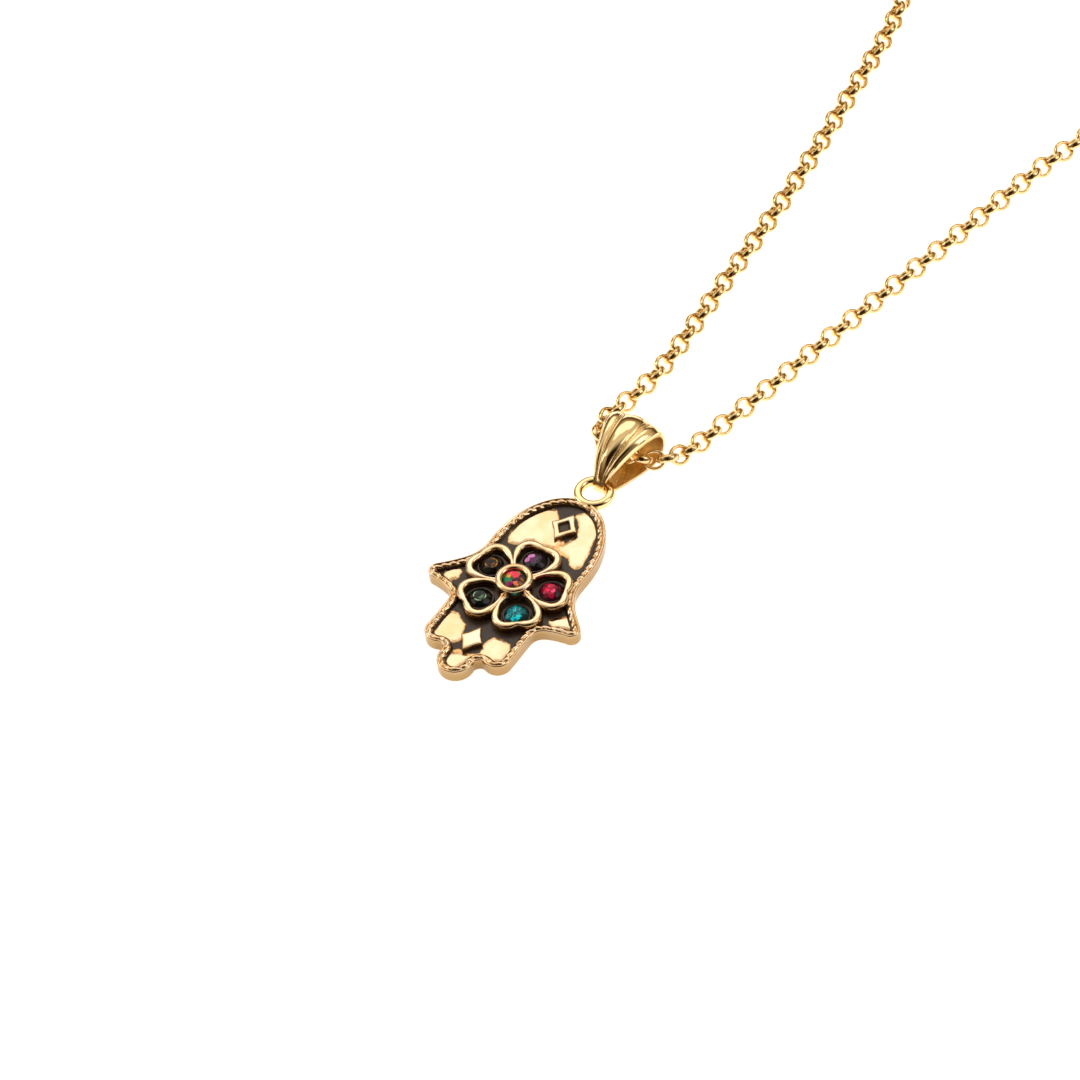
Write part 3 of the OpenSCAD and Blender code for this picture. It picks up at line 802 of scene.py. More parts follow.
    # Half-rubbed amber places, beside the diamonds
    amber: tuple[Pairs, ...] = (
        ((-0.4, 7.5), (0.6, 7.6), (1.5, 7.0), (2.3, 6.9), (2.6, 6.1), (1.5, 6.2), (0.7, 6.2), (-0.1, 6.4)),
        ((-0.9, -9.9), (-0.4, -9.5), (0.6, -9.6), (1.6, -9.0), (1.2, -9.9), (0.2, -10.2)))

    def rubbed(self, spots: Array, places: tuple) -> Array:
        """How far each spot lies inside the nearest of some polygons, in millimetres, negative outside."""
        return np.max([inside_distance(spots, np.array(p)) for p in places], axis=0) + self.patch_grow

    def body(self) -> Shell:
        """Plate with its rounded back edge, satin side, rim, rope channel and ground.

        The rim is a profile of inset and height carried along the outline. The ground is the profile's last ring
        drawn towards the flower's centre by shares of its distance, raised a little inside the bright patches and
        lowered under the stones. The back is the profile's first ring, drawn in the same way.

        Returns:
            The closed surface.
        """
        ring, out = self.outline.path()
        n = len(ring)
        corner = np.radians(np.linspace(-90, 0, 6))
        edge = np.radians(np.linspace(0, 90, 7))
        top, foot = self.plate_t, (self.channel_foot[0], self.ground_z + self.channel_foot[1])
        r, q = self.back_round, self.front_round
        profile = np.concatenate([
            np.stack([r - r * np.cos(corner), r + r * np.sin(corner)], -1),
            [[0, height] for height in self.side_rings],
            np.stack([q - q * np.cos(edge), top - q - 0.03 + q * np.sin(edge)], -1),
            [[x, top - drop] for x, drop, _ in self.channel], [foot]])
        dark = np.concatenate([np.zeros(15), [stain for _, _, stain in self.channel], [1.0]])
        # Painted shade down the profile's rows: full on the back corner and the upright sides, fading out over the
        # top edge
        side = np.concatenate([np.ones(8), np.linspace(0.9, 0.1, 7), np.zeros(6)])
        # The outline's hollows, where it turns inwards, take more painted shade on the sides
        ahead, behind = np.roll(ring, -6, 0) - ring, ring - np.roll(ring, 6, 0)
        hollow = np.sin(np.arctan2(ahead[:, 1], ahead[:, 0]) - np.arctan2(behind[:, 1], behind[:, 0]))
        hollow = rounded(smoothstep(hollow, *self.hollow_turn), 6.0)
        rim = np.concatenate([np.repeat(ring[None], len(profile), 0) - out[None] * profile[:, :1, None],
                              np.repeat(profile[:, 1:, None], n, 1)], -1)
        shares = np.concatenate([np.linspace(*self.ground_rings), self.ground_core])
        flat = rim[-1, :, :2] * shares[:, None, None]
        bright, amber = (self.rubbed(flat, places) for places in (self.patches, self.amber))
        turns = np.radians([p.value for p in Petal])
        stones = np.concatenate([[[0, 0]], self.petal_ring_r * np.stack([np.cos(turns), np.sin(turns)], -1)])
        near = np.linalg.norm(flat[:, :, None] - stones, axis=-1).min(-1)
        z = (self.ground_z + self.patch_rise * smoothstep(bright, *self.patch_slope)
             - self.pit * smoothstep(near, *self.pit_edge))
        ground = np.concatenate([flat, z[..., None]], -1)
        stain = np.minimum(np.clip(self.patch_border - bright / self.patch_fade, 0, 1),
                           np.clip(self.amber_border - amber / self.amber_fade, self.amber_least, 1))
        back_shares = np.linspace(0.1, 1, 8)[:-1, None, None]
        back = np.concatenate([rim[0, :, :2] * back_shares, np.zeros((len(back_shares), n, 1))], -1)
        # Painted shade of every point: the back, the sides, most in the hollows, the ground, then the two poles
        unlit = np.concatenate([np.full(len(back) * n, self.back_shade),
                                np.outer(side, self.side_shade + self.hollow_shade * hollow).ravel(),
                                np.full(len(ground) * n, self.ground_shade), [self.back_shade, 0]])
        return through_rings(
            np.concatenate([back, rim, ground]), first=[0, 0, 0], last=[0, 0, self.ground_z - self.pit],
            patina=np.concatenate([np.zeros(len(back) * n), np.repeat(dark, n), stain.ravel(), [0, 1]]), shade=unlit)

    def rope(self) -> Shell:
        """Rope edge, as a tube of two twisted strands along the inset outline.

        Its radius at angle p and distance s is the rope's, times one less the twist plus the twist times the
        absolute cosine of p less pi s over the pitch to the power rope_power. So each strand comes up once a pitch.

        Returns:
            The closed surface.
        """
        ring, out = self.outline.path(2040)
        path = ring - out * self.rope_inset
        step = np.linalg.norm(np.roll(path, -1, 0) - path, axis=1)
        s = np.concatenate([[0], np.cumsum(step)])
        phase = s[:-1] / s[-1] * round(s[-1] / self.rope_pitch) * np.pi
        slow, fast = self.rope_waves
        wear = 1 + self.rope_wander * np.sin(phase * slow) * np.sin(phase * fast + 1)
        p = around(12)
        strand = np.abs(np.cos(p - phase[:, None])) ** self.rope_power
        radius = self.rope_r * wear[:, None] * (1 - self.rope_twist + self.rope_twist * strand)
        across = path[:, None] + out[:, None] * (radius * np.cos(p))[..., None]
        height = self.plate_t + self.rope_proud - self.rope_r + radius * np.sin(p)
        low = 1 - smoothstep(radius / self.rope_r, *self.rope_groove)
        inner = smoothstep(-np.cos(p), *self.rope_inner)
        groove, inside, anywhere = self.rope_stain
        stain = np.clip(low * (groove + inside * inner) + anywhere * inner, 0, 1)
        return through_rings(np.concatenate([across, height[..., None]], -1), wrap=True, patina=stain.ravel())

    def heart_reach(self, angles: Array, inset: float) -> Array:
        """Distance from a petal's stone to the petal's heart outline, in each direction.

        It is the greatest of where a ray leaves the two lobes, which are circles, and the flanks' polygon.

        Args:
            angles: Directions of the rays, in radians from the petal's axis.
            inset: How far inside the petal's outer edge the heart lies.

        Returns:
            The distances, in millimetres.
        """
        lobe = self.lobe_r - inset
        half = self.lobe_side + lobe
        slope = np.tan(np.radians(self.flank_deg))
        flank = [(u, u * slope + 0.03 - inset * 0.55) for u in (0.7 * self.lobe_out, 1.5)]
        side = [(self.lobe_out, half), (0.82 * self.lobe_out, half - 0.07 * self.lobe_r), *flank]
        corners = np.array(side + [(u, -v) for u, v in side[::-1]]) - [self.petal_ring_r, 0]
        ray = np.stack([np.cos(angles), np.sin(angles)], -1)
        edge = np.roll(corners, -1, 0) - corners
        normal = np.stack([edge[:, 1], -edge[:, 0]], -1)
        normal *= np.sign((normal * corners).sum(-1))[:, None]
        facing = ray @ normal.T
        with np.errstate(divide="ignore"):
            leave = np.where(facing > 1e-9, (normal * corners).sum(-1) / facing, np.inf).min(-1)
        for v in (-self.lobe_side, self.lobe_side):
            centre = np.array([self.lobe_out - self.petal_ring_r, v])
            along = ray @ centre
            inner = along ** 2 - (centre @ centre - lobe * lobe)
            leave = np.maximum(leave, np.where(inner > 0, along + np.sqrt(np.maximum(inner, 0)), 0))
        return leave

    def petal(self, direction: Petal) -> Shell:
        """One petal: its outer wall, rounded rim, dark cup and the thin ridge round its stone.

        Seen from the stone, each direction has an outer reach, that of the heart, and an inner reach, that of the
        smaller heart or of the stone's seat. Each ring of the surface lies at a share of the way between the two,
        and has its height, patina and painted shade, which darkens the rim's flanks, the wall's foot and the cup.

        Args:
            direction: Which petal it is.

        Returns:
            The surface, open below.
        """
        n = 180
        a = around(n)
        outer = rounded(self.heart_reach(a, 0.0), 2.2)
        seat = self.stone_r + 0.07
        inner = np.maximum(self.heart_reach(a, self.petal_rim), seat)
        inner = rounded(np.minimum(inner, outer - 0.34), 3.0)
        near = 1 - smoothstep(np.hypot(self.petal_ring_r + outer * np.cos(a), outer * np.sin(a)), 2.7, 3.9)
        # Each ring from here on is a reach, a height and a patina, and the rim's have their painted shade too, dark
        # on the flanks and none on the top
        low, top, floor, crest = self.ground_z - 0.05, self.petal_top, self.petal_floor, self.seat_top
        shoulder = top - 0.3 * (1 - near) - 0.03
        wall = np.minimum(seat + self.seat_w, np.maximum(inner - 0.12, seat))
        foot = [(outer + 0.02, low, 0.75), (outer + 0.02, low + 0.12, 0.42), (outer, low + 0.35, 0.2)]
        rim = []
        for share in np.linspace(0, 1, 11):
            off_middle = abs(2 * share - 1)
            base = shoulder if share < 0.5 else top - 0.34
            rim.append((outer + (inner - outer) * share, base + (top - base) * np.sqrt(1 - off_middle ** 3),
                        0.0 if share < 0.95 else 0.25, self.petal_shade * off_middle ** 2.5))
        cup = [(inner - 0.02, floor + 0.2, 0.7), (np.maximum(inner - 0.08, seat - 0.01), floor + 0.02, 1.0),
               (wall, floor, 1.0), (wall - 0.04, crest - 0.03, 0.7),
               (np.minimum(wall - 0.08, seat + 0.08), crest, 0.66), (np.minimum(wall - 0.1, seat), crest - 0.04, 0.9),
               (self.stone_r + 0.03, self.stone_z - 0.3, 1.0), (0, self.stone_z - 0.35, 1.0)]
        # The foot's and the cup's rings take the full painted shade
        foot, cup = ([(*ring, self.petal_shade) for ring in part] for part in (foot, cup))
        return mound(foot + rim + cup, n, (self.petal_ring_r, 0.0), direction.value)

    def bezel(self) -> Shell:
        """Raised ring round the centre stone: an outer wall, a round crown and a dark inside.

        Its rings give a reach, a height and a patina.

        Returns:
            The surface, open below.
        """
        r, hole, top = self.bezel_r, self.bezel_hole, self.bezel_top
        middle, half, rise = (r + hole) / 2, (r - hole) / 2, 0.26
        a = np.radians(np.linspace(0, 180, 13))
        crown = list(zip(middle + half * np.cos(a), top - rise + rise * np.sin(a), [0.0] * 11 + [0.15, 0.3]))
        rings = [(r, 1.0, 0.6), (r, 1.5, 0.35), (r, 2.2, 0.1), *crown, (hole + 0.06, top - 0.42, 0.5),
                 (hole + 0.06, top - 0.6, 0.9), (hole, top - 1.1, 1.0), (0, top - 1.1, 1.0)]
        return mound(rings, 96)

    def diamond(self, centre_y: float, half: Pair, opening: Pair | None) -> Shell:
        """A raised diamond with slightly hollow sides, solid or pierced.

        Its reach in direction a is one over the sum of the absolute cosine over its half width and the absolute
        sine over its half height, less 7 percent in the middle of a side.

        Args:
            centre_y: Height of its centre above the flower's.
            half: Half its width and height.
            opening: Half the width and height of its opening, or None where it is solid.

        Returns:
            The surface.
        """
        n = 96
        a = around(n)

        def reach(size: Pair, hollow: float) -> Array:
            """Reach of a diamond of this half size in each direction."""
            plain = 1 / (np.abs(np.cos(a)) / size[0] + np.abs(np.sin(a)) / size[1])
            return plain * (1 - hollow * np.sin(2 * a) ** 2)

        top = self.plate_t
        full = reach(half, 0.07)
        rings = [(full, self.ground_z - 0.05, 0.75), (full, self.ground_z + 0.12, 0.4),
                 (full * 0.985, top - 0.12, 0.1), (full * 0.95, top - 0.03, 0.0), (full * 0.91, top, 0.0)]
        if opening:
            hole, floor = reach(opening, -0.02), top - 0.28
            rings += [(hole * 1.2, top, 0.0), (hole * 1.06, top - 0.04, 0.1), (hole, top - 0.16, 0.7),
                      (hole * 0.98, top - 0.24, 1.0), (hole * 0.9, floor, 0.9), (hole * 0.5, floor, 0.75),
                      (0, floor, 0.75)]
        else:
            rings += [(full * 0.6, top, 0.0), (full * 0.2, top, 0.0), (0, top, 0.0)]
        return mound(rings, n, (0.0, centre_y))

    def loop(self) -> Shell:
        """Hanging loop: an oval section carried round a circle, its corners a power of 0.8 of sine and cosine."""
        waves = np.stack([np.cos(around(24)), np.sin(around(24))])
        u, v = np.array(self.loop_wire)[:, None] * np.sign(waves) * np.abs(waves) ** 0.8
        made = hoop(self.loop_r + u, v, 96)
        made.points += [0, self.loop_y, self.loop_z]
        return made

    def build(self, cast: Material, polished: Material) -> None:
        """Makes and dresses the pieces of the casting, which together stand for the node hand_plate.

        Args:
            cast: Antiqued gold.
            polished: Polished gold.
        """
        flower = reduce(Shell.joined, map(self.petal, Petal))
        diamonds = self.diamond(self.frame_diamond_y, self.frame_diamond, self.frame_opening).joined(
            self.diamond(self.solid_diamond_y, self.solid_diamond, None))
        for piece in (self.body().piece("hand_casting", cast), self.rope().piece("rope_edge", cast, sharp_deg=80),
                      flower.piece("flower_petals", cast), self.bezel().piece("centre_bezel", cast),
                      diamonds.piece("raised_diamonds", cast), self.loop().piece("hanging_loop", polished)):
            settle(piece, Slot.CAST, "hand_plate")


def settle(piece: Object, slot: Slot, *nodes: str) -> None:
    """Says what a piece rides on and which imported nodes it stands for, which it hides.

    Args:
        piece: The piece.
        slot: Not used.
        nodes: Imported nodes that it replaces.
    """
    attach(piece, "root")
    if nodes:
        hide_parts(*nodes)
    log.info("%s: %d faces", piece.name, len(piece.data.polygons))


@dataclass(frozen=True)
class Bail:
    """Fluted strip folded round the loop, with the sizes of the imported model, in millimetres."""

    # Middle of the loop's wire, and centre as y and z and radius of the strip's fold there and round the chain
    wire_y: float = 16.35
    small: Pair = (16.35, 1.16)
    small_r: float = 1.16
    big: Pair = (21.29, 2.2)
    big_r: float = 2.2
    length: float = 8.3
    width: float = 5.9
    sheet: float = 0.45
    bow_r: float = 7.0
    arch: float = 0.45
    flute: float = 0.298
    form_rise: float = 2.5
    inner_arch: float = 0.8
    # Share of the length and of the width, from the loop up
    leaf: Pairs = (
        (0, 0.2), (0.04, 0.23), (0.11, 0.3), (0.21, 0.45), (0.39, 0.63), (0.57, 0.79), (0.75, 0.93), (0.91, 1),
        (1, 1))
    # Share of the half width and of the flutes' height, from the middle out
    flutes: Pairs = (
        (0, 1), (0.12, 0.96), (0.24, 0.82), (0.33, 0.6), (0.37, 0.42), (0.4, 0.56), (0.43, 0.3), (0.52, 0.22),
        (0.55, 0.42), (0.58, 0.28), (0.62, 0.52), (0.72, 0.75), (0.8, 0.7), (0.88, 0.48), (0.92, 0.3), (0.96, 0.44),
        (1, 0.05))
    # Share of the half width between which the strip is rough, with a soft border, and how rough its inside is
    rough_from: Pair = (0.42, 0.45)
    rough_to: Pair = (0.5, 0.53)
    rough_inside: float = 0.9
    # How far the strip's edges are rounded down, and between which shares of the half width
    edge_drop: float = 0.07
    edge_from: Pair = (0.95, 1.0)

    def profile(self) -> Array:
        """Side profile as stations of y, z, outward normal and share of the front's form.

        A bow from the small circle to the big one, round the big circle, straight back along their common tangent,
        and round the small circle.

        Returns:
            One row of these five values for each station.
        """
        big, small = np.array(self.big), np.array(self.small)
        bow = crossing(big, self.bow_r - self.big_r, small, self.bow_r - self.small_r)
        a0, a1 = heading(small - bow), heading(big - bow)
        gap = np.linalg.norm(big - small)
        back = heading(big - small) - float(np.degrees(np.arccos((self.small_r - self.big_r) / gap)))

        def stations(centre: Array, radius: Array, angle: Array, form: Array) -> Array:
            """Stations at an angle on a circle."""
            c, s = np.cos(np.radians(angle)), np.sin(np.radians(angle))
            return np.stack([centre[..., 0] + radius * c, centre[..., 1] + radius * s, c, s, form], -1)

        t = np.linspace(0, 1, 60)
        front = stations(bow, self.bow_r + 0 * t, a0 + (a1 - a0) * t, np.minimum(1, t * self.form_rise))
        t = np.linspace(0, 1, 56)[1:]
        over = stations(big, self.big_r + 0 * t, a1 + (back - a1) * t,
                        np.clip(1 - (t - 0.5) * self.form_rise, 0, 1))
        t = np.linspace(0, 1, 25)[1:]
        rear = stations(big + (small - big) * t[:, None], self.big_r + (self.small_r - self.big_r) * t,
                        back + 0 * t, 0 * t)
        t = np.linspace(0, 1, 33)[1:-1]
        fold = stations(small, self.small_r + 0 * t, back + (a0 - 360 - back) * t, 0 * t)
        return np.concatenate([front, over, rear, fold])

    def section(self) -> tuple[Array, Array, Array]:
        """Cross-section of the front.

        Returns:
            Share of the half width, share of the flutes' height, and how rough each place is.
        """
        f = np.linspace(-1, 1, 81)
        out = np.abs(f)
        rough = smoothstep(out, *self.rough_from) * (1 - smoothstep(out, *self.rough_to))
        return f, np.interp(out, *np.array(self.flutes).T), rough

    def shell(self) -> Shell:
        """The strip: at each station, an outer line across the width, and an inner line back, joined to a ring.

        The outer line stands off the profile by the form's share times the arch, one less the share of the width
        squared, plus the flutes. The inner line lies a sheet's thickness below the arch.

        Returns:
            The closed surface.
        """
        rows = self.profile()
        f, flute, rough = self.section()
        back = np.linspace(1, -1, 21)
        y0 = self.wire_y - self.small_r
        half = np.interp((rows[:, 0] - y0) / self.length, *np.array(self.leaf).T) * self.width / 2
        form = rows[:, 4:5]
        out = form * (self.arch * (1 - f ** 2) + self.flute * flute)
        inn = form * self.arch * (1 - back ** 2) * self.inner_arch - self.sheet
        drop = self.edge_drop * smoothstep(np.abs(np.concatenate([f, back])), *self.edge_from)
        off = np.concatenate([out, inn], 1) + drop * np.repeat([-1, 1], [len(f), len(back)])
        across = half[:, None] * np.concatenate([f, back])
        grain = np.concatenate([rough * (form > 0.05), self.rough_inside + 0 * inn], 1)
        points = np.stack([across, rows[:, :1] + rows[:, 2:3] * off, rows[:, 1:2] + rows[:, 3:4] * off], -1)
        return through_rings(points, wrap=True, rough=grain.ravel())

    def build(self, polished: Material) -> None:
        """Makes the bail and dresses it in polished gold."""
        settle(self.shell().piece("fluted_bail", polished, sharp_deg=60), Slot.POLISHED, "bail")


@dataclass(frozen=True)
class Chain:
    """Rolo chain of round links, each turned 45 degrees to the other side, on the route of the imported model."""

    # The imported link: radius, wire, width of its band, and how much less than touching two links are set apart
    link_r: float = 1.27
    link_wire: float = 0.4
    link_band: float = 0.5
    link_gap: float = 0.12
    # How much closer links sit in a bend
    bend_squeeze: float = 0.6
    clasp_d: float = 2.4
    clasp_len: float = 8.0
    eye_in: float = 0.9
    eye_wire: float = 0.32
    # Depth from a barrel's end and share of its radius
    barrel: Pairs = (
        (0, 0.05), (0.02, 0.5), (0.05, 0.72), (0.1, 0.85), (0.2, 0.95), (0.35, 1), (0.9, 1), (1.0, 0.99),
        (1.1, 0.92), (1.2, 0.92), (1.3, 0.99), (1.5, 1))
    tilt_deg: float = 45.0
    rise: float = 0.89
    # Air between the chain and the surface that it lies on
    clear: float = 0.01
    # Steps from one point of the route to the next
    steps: int = 12
    # Sizes of a link as drawn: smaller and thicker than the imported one, so that links touch as real ones do, and
    # squeezed a little across
    drawn_r: float = 1.24
    drawn_wire: float = 0.43
    drawn_band: float = 0.8
    drawn_squeeze: float = 0.1
    # How far the links' polish has worn, where 1 is as cast
    worn: float = 0.32
    # Across, along and share of the rise inside the bail
    route: tuple[Point, ...] = (
        (2, 182, 0), (20, 177.5, 0), (34, 165, 0), (40.5, 148, 0), (38, 130, 0), (31, 113, 0),
        (24, 97, 0), (17.5, 81, 0), (13.6, 64, 0), (10.2, 48, 0), (7.7, 35.5, 0), (6.2, 28.5, 0),
        (5.5, 25.2, 0.1), (5, 23, 0.6), (4.2, 21.6, 1), (2.7, 20.6, 1), (0, 20.2, 1), (-2.7, 20.6, 1),
        (-4.1, 22.4, 0.7), (-4.3, 25.3, 0.1), (-3.7, 28.5, 0), (-3.4, 34, 0), (-4.2, 46, 0), (-5.2, 60, 0),
        (-7, 75, 0), (-9.5, 90, 0), (-16, 105, 0), (-25, 119, 0), (-33, 134, 0), (-36, 150.5, 0),
        (-30, 167, 0), (-17, 178, 0))

    @property
    def link_in(self) -> float:
        """Inner radius of a link."""
        return self.link_r - self.link_wire

    @property
    def flat(self) -> float:
        """Half the flat part of a link's band."""
        return (self.link_band - self.link_wire) / 2

    @property
    def middle_z(self) -> float:
        """Height of the chain's middle where it lies on the surface."""
        half = (self.link_in + self.link_wire / 2 + self.flat) * np.sin(np.radians(self.tilt_deg))
        return float(half + self.link_wire / 2 + self.clear)

    def path(self) -> tuple[Array, Array]:
        """The route as a smooth closed path, and the distance along it.

        Each span is the cubic through its two points whose slope at a point is half the step between that point's
        neighbours. A bend counts as longer, by its turn a millimetre times the squeeze, because links sit closer
        there.

        Returns:
            Points, and running distances that end with the whole length.
        """
        b = np.array(self.route, float)
        a, c, d = np.roll(b, 1, 0), np.roll(b, -1, 0), np.roll(b, -2, 0)
        t = (np.arange(self.steps) / self.steps)[None, :, None]
        a, b, c, d = (v[:, None] for v in (a, b, c, d))
        p = (b * 2 + (c - a) * t + (a * 2 - b * 5 + c * 4 - d) * t ** 2 + (b * 3 - a - c * 3 + d) * t ** 3) / 2
        p = p.reshape(-1, 3)
        p[:, 2] = self.middle_z + self.rise * np.maximum(0, p[:, 2])
        ahead, behind = np.roll(p, -1, 0) - p, p - np.roll(p, 1, 0)
        la, lb = np.linalg.norm(ahead, axis=1), np.linalg.norm(behind, axis=1)
        turn = np.arccos(np.clip((ahead * behind).sum(-1) / (la * lb), -1, 1)) * 2 / (la + lb)
        return p, np.concatenate([[0], np.cumsum(la * (1 + self.bend_squeeze * turn))])

    def at(self, s: Array) -> Array:
        """Points of the path at distances s along it."""
        p, reach = self.path()
        closed = np.concatenate([p, p[:1]])
        s = np.asarray(s) % reach[-1]
        return np.stack([np.interp(s, reach, closed[:, k]) for k in range(3)], -1)

    def stations(self) -> tuple[Array, Array, Array]:
        """Where the links stand, at equal distances along the path.

        Returns:
            Middle, direction and tilt in radians of each link.
        """
        length = self.path()[1][-1]
        first = (self.clasp_len / 2 + self.eye_in + np.sqrt(self.eye_in ** 2 - self.flat ** 2)
                 + self.link_in - self.link_gap)
        reach = np.sqrt(self.link_in ** 2 - self.flat ** 2)
        count = 1 + int(np.ceil((length - 2 * first) / (2 * reach - self.link_gap)))
        pitch = (length - 2 * first) / (count - 1)
        number = np.arange(count)
        s = first + number * pitch
        tilt = np.where(number % 2 == 0, self.tilt_deg, -self.tilt_deg)
        return self.at(s), self.at(s + pitch / 2) - self.at(s - pitch / 2), np.radians(tilt)

    @staticmethod
    def placed(local: Array, middle: Array, along: Array, tilt: Array) -> Array:
        """Turns and moves a shape to each station.

        Args:
            local: Points of the shape, its x along the chain.
            middle: Where each copy goes.
            along: Direction of each copy's x.
            tilt: Turn of each copy about its x, in radians.

        Returns:
            Points of all copies, one copy after the other.
        """
        ex = unit(along)
        ey = unit(np.stack([-ex[:, 1], ex[:, 0], 0 * ex[:, 0]], -1))
        ez = np.cross(ex, ey)
        c, s = np.cos(tilt)[:, None], np.sin(tilt)[:, None]
        x, y, z = (local[None, :, k] for k in range(3))
        turned = (x + 0 * c, y * c - z * s, y * s + z * c)
        return (middle[:, None] + sum(v[..., None] * e[:, None] for v, e in zip(turned, (ex, ey, ez)))).reshape(-1, 3)

    def links(self, first: int, last: int) -> Shell:
        """Some of the chain's links.

        A link is an oval section carried round a circle, 14 points by 6, a little larger than the finished link,
        because the subdivision that finishes it draws it in.

        Args:
            first: Number of the first link.
            last: Number after the last link.

        Returns:
            The surface.
        """
        n = 14
        p = around(6, 0.5)
        # Subdivision moves a point to 3/4 of itself plus 1/8 of each neighbour, so both rings start larger by this
        grow_ring, grow_wire = 1 / (0.75 + 0.25 * np.cos(2 * np.pi / n)), 1 / 0.87
        half = self.drawn_wire / 2
        r = self.drawn_r - half + half * np.cos(p) * grow_wire
        one = hoop(r * grow_ring, self.drawn_band / 2 * np.sin(p) * grow_wire, n, self.drawn_squeeze * grow_ring)
        middle, along, tilt = (v[first:last] for v in self.stations())
        points = self.placed(one.points, middle, along, tilt)
        faces = (one.faces[0] + np.arange(len(middle))[:, None, None] * len(one.points)).reshape(-1, 4)
        return Shell(points, [faces], {"rough": np.full(len(points), self.worn)})

    def clasp(self) -> Shell:
        """Barrel clasp: a turned barrel with rounded ends and a groove near each, and an eye at each end.

        Returns:
            The barrel and its two eyes as one surface.
        """
        a, b = self.at(np.array([self.clasp_len / 2 + self.eye_in, -self.clasp_len / 2 - self.eye_in]))
        half = np.linalg.norm(a - b) / 2 - self.eye_in
        r = self.clasp_d / 2
        depth, reach = np.array(self.barrel).T
        x = np.concatenate([depth - half, half - depth[::-1]])
        reach = r * np.concatenate([reach, reach[::-1]])
        p = around(48)
        rows = np.stack([np.repeat(x[:, None], len(p), 1), np.outer(reach, np.cos(p)),
                         np.outer(reach, np.sin(p))], -1)
        barrel = through_rings(rows, first=[-half, 0, 0], last=[half, 0, 0])
        middle = (a + b) / 2 + [0, 0, r + self.clear - self.middle_z]
        shell = Shell(self.placed(barrel.points, middle[None], (a - b)[None], np.zeros(1)), barrel.faces)
        q, wire = around(12), self.eye_wire / 2
        eye = hoop(self.eye_in + wire + wire * np.cos(q), wire * np.sin(q), 40)
        high = (self.eye_in + wire) * np.sin(np.radians(self.tilt_deg)) + wire
        lift = np.array([0, 0, max(0.0, float(high) + self.clear - self.middle_z)])
        for spot, tilt in ((a, -np.radians(self.tilt_deg)), (b, -self.stations()[2][-1])):
            points = self.placed(eye.points, (spot + lift)[None], (a - b)[None], np.array([tilt]))
            shell = shell.joined(Shell(points, eye.faces))
        return shell

    def build(self, polished: Material) -> None:
        """Makes and dresses the chain, in two pieces, and its clasp.

        Args:
            polished: Polished gold.
        """
        count = len(self.stations()[0])
        for name, first, last in (("chain_right", 0, count // 2), ("chain_left", count // 2, count)):
            piece = self.links(first, last).piece(name, polished, sharp_deg=180)
            smooth = piece.modifiers.new("round_links", "SUBSURF")
            smooth.levels = smooth.render_levels = 1
            settle(piece, Slot.POLISHED, "chain")
        settle(self.clasp().piece("barrel_clasp", polished), Slot.POLISHED, "clasp")


@dataclass(frozen=True)
class Stones:
    """The six cut crystals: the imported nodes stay, with a finish for each."""

    # Node, then the finish: name, middle, tones with painted reflections and glints, size of a facet, painted glow,
    # colour of the painted border shade, reach of the bright middle
    finishes: tuple[tuple[str, Crystal], ...] = (
        ("stone_centre", Crystal("rainbow_foiled_crystal", (0.0, 0.0), (
            (0.0, "#E0A428"), (0.09, "#4A5A28"), (0.16, "#1E8A58"), (0.29, "#1A1418"), (0.36, "#9A1E62"),
            (0.47, "#F08850"), (0.6, "#4A1430"), (0.67, "#A8A428"), (0.74, "#F23E5E"), (0.93, "#E8A83A")),
            0.42, 0.3, "#1C3422", 0.8, 0.9)),
        ("stone_top", Crystal("amethyst_foiled_crystal", (0.0, 3.76), (
            (0.0, "#4A4250"), (0.3, "#6E6478"), (0.5, "#6A2066"), (0.64, "#1E121E"), (0.84, "#F09AE2"),
            (0.93, "#5A4E62")), 0.5, 0.22, "#120C10", 0.5, shift=0.37)),
        ("stone_upper_left", Crystal("smoked_topaz_foiled_crystal", (-3.576, 1.162), (
            (0.0, "#1A120E"), (0.3, "#3A2414"), (0.5, "#1E1410"), (0.7, "#6A4220"), (0.9, "#B06C24")),
            0.4, 0.2, "#120D0B", 0.5, arc_mm=0.6, arc_glint_colour="#E09A3C")),
        ("stone_lower_left", Crystal("dark_green_foiled_crystal", (-2.21, -3.042), (
            (0.0, "#0E1614"), (0.35, "#24322C"), (0.7, "#14201C"), (0.88, "#5A8464")),
            0.4, 0.2, "#0C0F0E", 0.5, arc_mm=0.62, arc_glint_colour="#B4E0B0")),
        ("stone_lower_right", Crystal("teal_foiled_crystal", (2.21, -3.042), (
            (0.0, "#02343C"), (0.22, "#04848E"), (0.42, "#02464E"), (0.64, "#10C0CA"), (0.8, "#025A64")), 0.34, 0.62,
            "#0A2022", 0.7, glint="#30E0E6", glint_width=0.06)),
        ("stone_upper_right", Crystal("fuchsia_foiled_crystal", (3.576, 1.162), (
            (0.0, "#A80434"), (0.3, "#F81850"), (0.5, "#5A061E"), (0.7, "#C01C44"), (0.88, "#FF447A")),
            0.42, 0.5, "#2A0C14", 0.6)))

    def build(self, nodes: dict[str, Object]) -> None:
        """Gives each packed stone its finish.

        Args:
            nodes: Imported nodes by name.
        """
        for name, finish in self.finishes:
            material = finish.material()
            for slot in nodes[name].material_slots:
                slot.material = material
            log.info("%s: %s", name, finish.name)


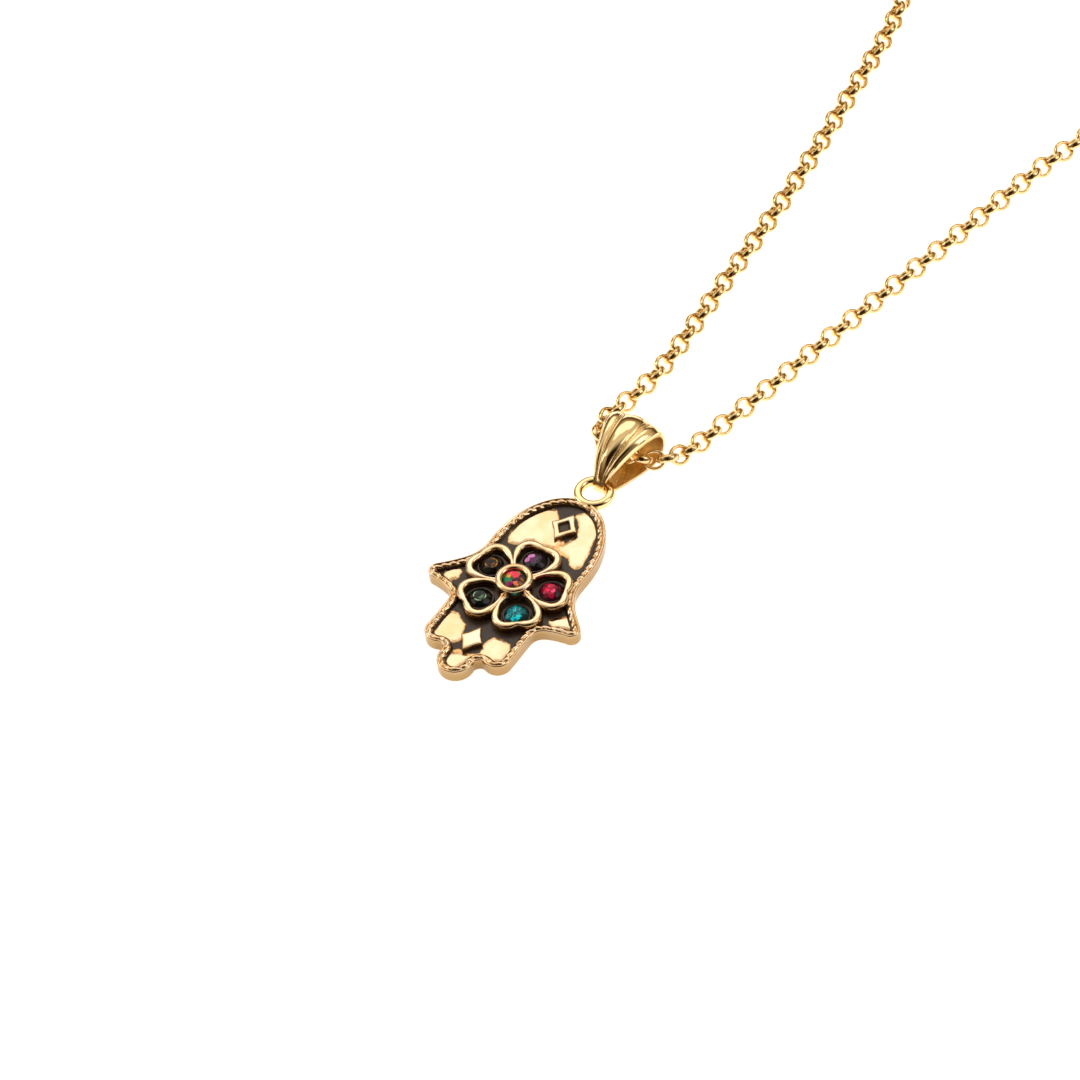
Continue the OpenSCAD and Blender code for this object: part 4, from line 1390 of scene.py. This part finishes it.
@dataclass(frozen=True)
class Studio:
    """Product table: white paper, large soft lights, a dim room round them, and the camera."""

    # Directions of the picture's right and down in the object's frame
    right: Point = (0.834, 0.545, -0.076)
    down: Point = (0.3686, -0.656, -0.658)
    # How far off the camera stands, its focal length, and the picture's side
    away_mm: float = 700.0
    focal_px: float = 7000.0
    frame_px: float = 1080.0
    # A point of the object in millimetres, the centre of the flower, and where the picture shows it
    target: Point = (0.0, 0.0, 1.6)
    target_px: Pair = (514.9, 585.6)
    sensor_mm: float = 36.0
    # Half the paper's side, and its drop below the object
    paper_half: float = 2500.0
    paper_drop: float = 0.02
    # Colour of the room by height, and of the dark part of it behind the camera
    walls: Stops = (
        (0.0, "#8A6A48"), (0.1, "#46321E"), (0.3, "#806848"), (0.6, "#D2BEA0"), (1.0, "#E8DCC8"))
    dark_colour: str = "#241608"
    dark_way: Point = (0.41, -0.52, 0.75)
    dark_edge: Pair = (0.68, 0.9)
    # Name, place, width and height in metres, and brightness of each light
    softboxes: tuple[tuple[str, Point, Pair, float], ...] = (
        ("softbox_behind", (-0.45, 0.6, 0.8), (0.9, 0.6), 0.97),
        ("softbox_left", (-0.9, -0.35, 0.6), (0.5, 0.8), 1.7),
        ("softbox_right", (0.8, 0.35, 0.7), (0.4, 0.8), 1.7))

    def camera(self) -> None:
        """Puts the camera where the photograph was taken from."""
        r, d = unit(np.array(self.right)), np.array(self.down)
        d = unit(d - r * (d @ r))
        w = np.cross(r, d)
        aside, below = (np.array(self.target_px) - self.frame_px / 2) * self.away_mm / self.focal_px
        eye = (np.array(self.target) - aside * r - below * d - self.away_mm * w) * MM
        data = bpy.data.cameras.new("camera")
        data.sensor_width = self.sensor_mm
        data.lens = self.sensor_mm * self.focal_px / self.frame_px
        data.clip_start, data.clip_end = 0.01, 20.0
        bpy.context.scene.camera = new_object("camera", data, (r, -d, -w), eye)

    def softbox(self, name: str, spot: Point, size: Pair, bright: float) -> None:
        """Adds a rectangular soft light that faces the object.

        Args:
            name: Name of the light.
            spot: Where it stands, in metres.
            size: Width and height, in metres.
            bright: How bright its face is, where white paper in full light is 1.
        """
        data = bpy.data.lights.new(name, "AREA")
        data.shape = "RECTANGLE"
        data.size, data.size_y = size
        data.energy = bright * np.pi * size[0] * size[1]
        back = unit(np.array(spot))
        side = unit(np.cross([0, 0, 1], back))
        new_object(name, data, (side, np.cross(back, side), back), spot)

    def room(self) -> None:
        """Lights the room: pale overhead, brown low down and where the camera stands, and white as a backdrop."""
        world = bpy.data.worlds.new("studio_room")
        graph = Graph(world)
        way = graph.add("TexCoord").outputs["Generated"]
        height = graph.add("SeparateXYZ", {"Vector": way}).outputs["Z"]
        hole = graph.spread(graph.vector("DOT_PRODUCT", way, self.dark_way), *self.dark_edge)
        room = graph.mixed(hole, graph.ramp(height, self.walls), self.dark_colour)
        dim, white = (graph.add("Background", {"Color": colour, "Strength": 1.0}).outputs[0]
                      for colour in (room, linear("#FFFFFF")))
        seen = graph.add("LightPath").outputs["Is Camera Ray"]
        mix = graph.add("MixShader", {0: seen, 1: dim, 2: white})
        graph.add("OutputWorld", {"Surface": mix.outputs[0]})
        bpy.context.scene.world = world

    def build(self) -> None:
        """Lays the paper and sets up the lights and the camera."""
        corners = np.array([(-1, -1, 0), (1, -1, 0), (1, 1, 0), (-1, 1, 0)]) * self.paper_half
        sheet = Shell(corners - [0, 0, self.paper_drop], [np.arange(4)[None]])
        floor = sheet.piece("paper_floor", WhitePaper().material())
        self.room()
        for lamp in self.softboxes:
            self.softbox(*lamp)
        self.camera()
        bpy.context.scene.view_settings.view_transform = "Standard"


def main() -> None:
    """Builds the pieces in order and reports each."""
    logging.basicConfig(level=logging.INFO, format="%(name)s: %(message)s")
    cast = AntiquedGold().material()
    polished = PolishedGold().material()
    CastHand().build(cast, polished)
    Stones().build(frame["nodes"])
    Bail().build(polished)
    Chain().build(polished)
    Studio().build()


if __name__ == "__main__":
    main()
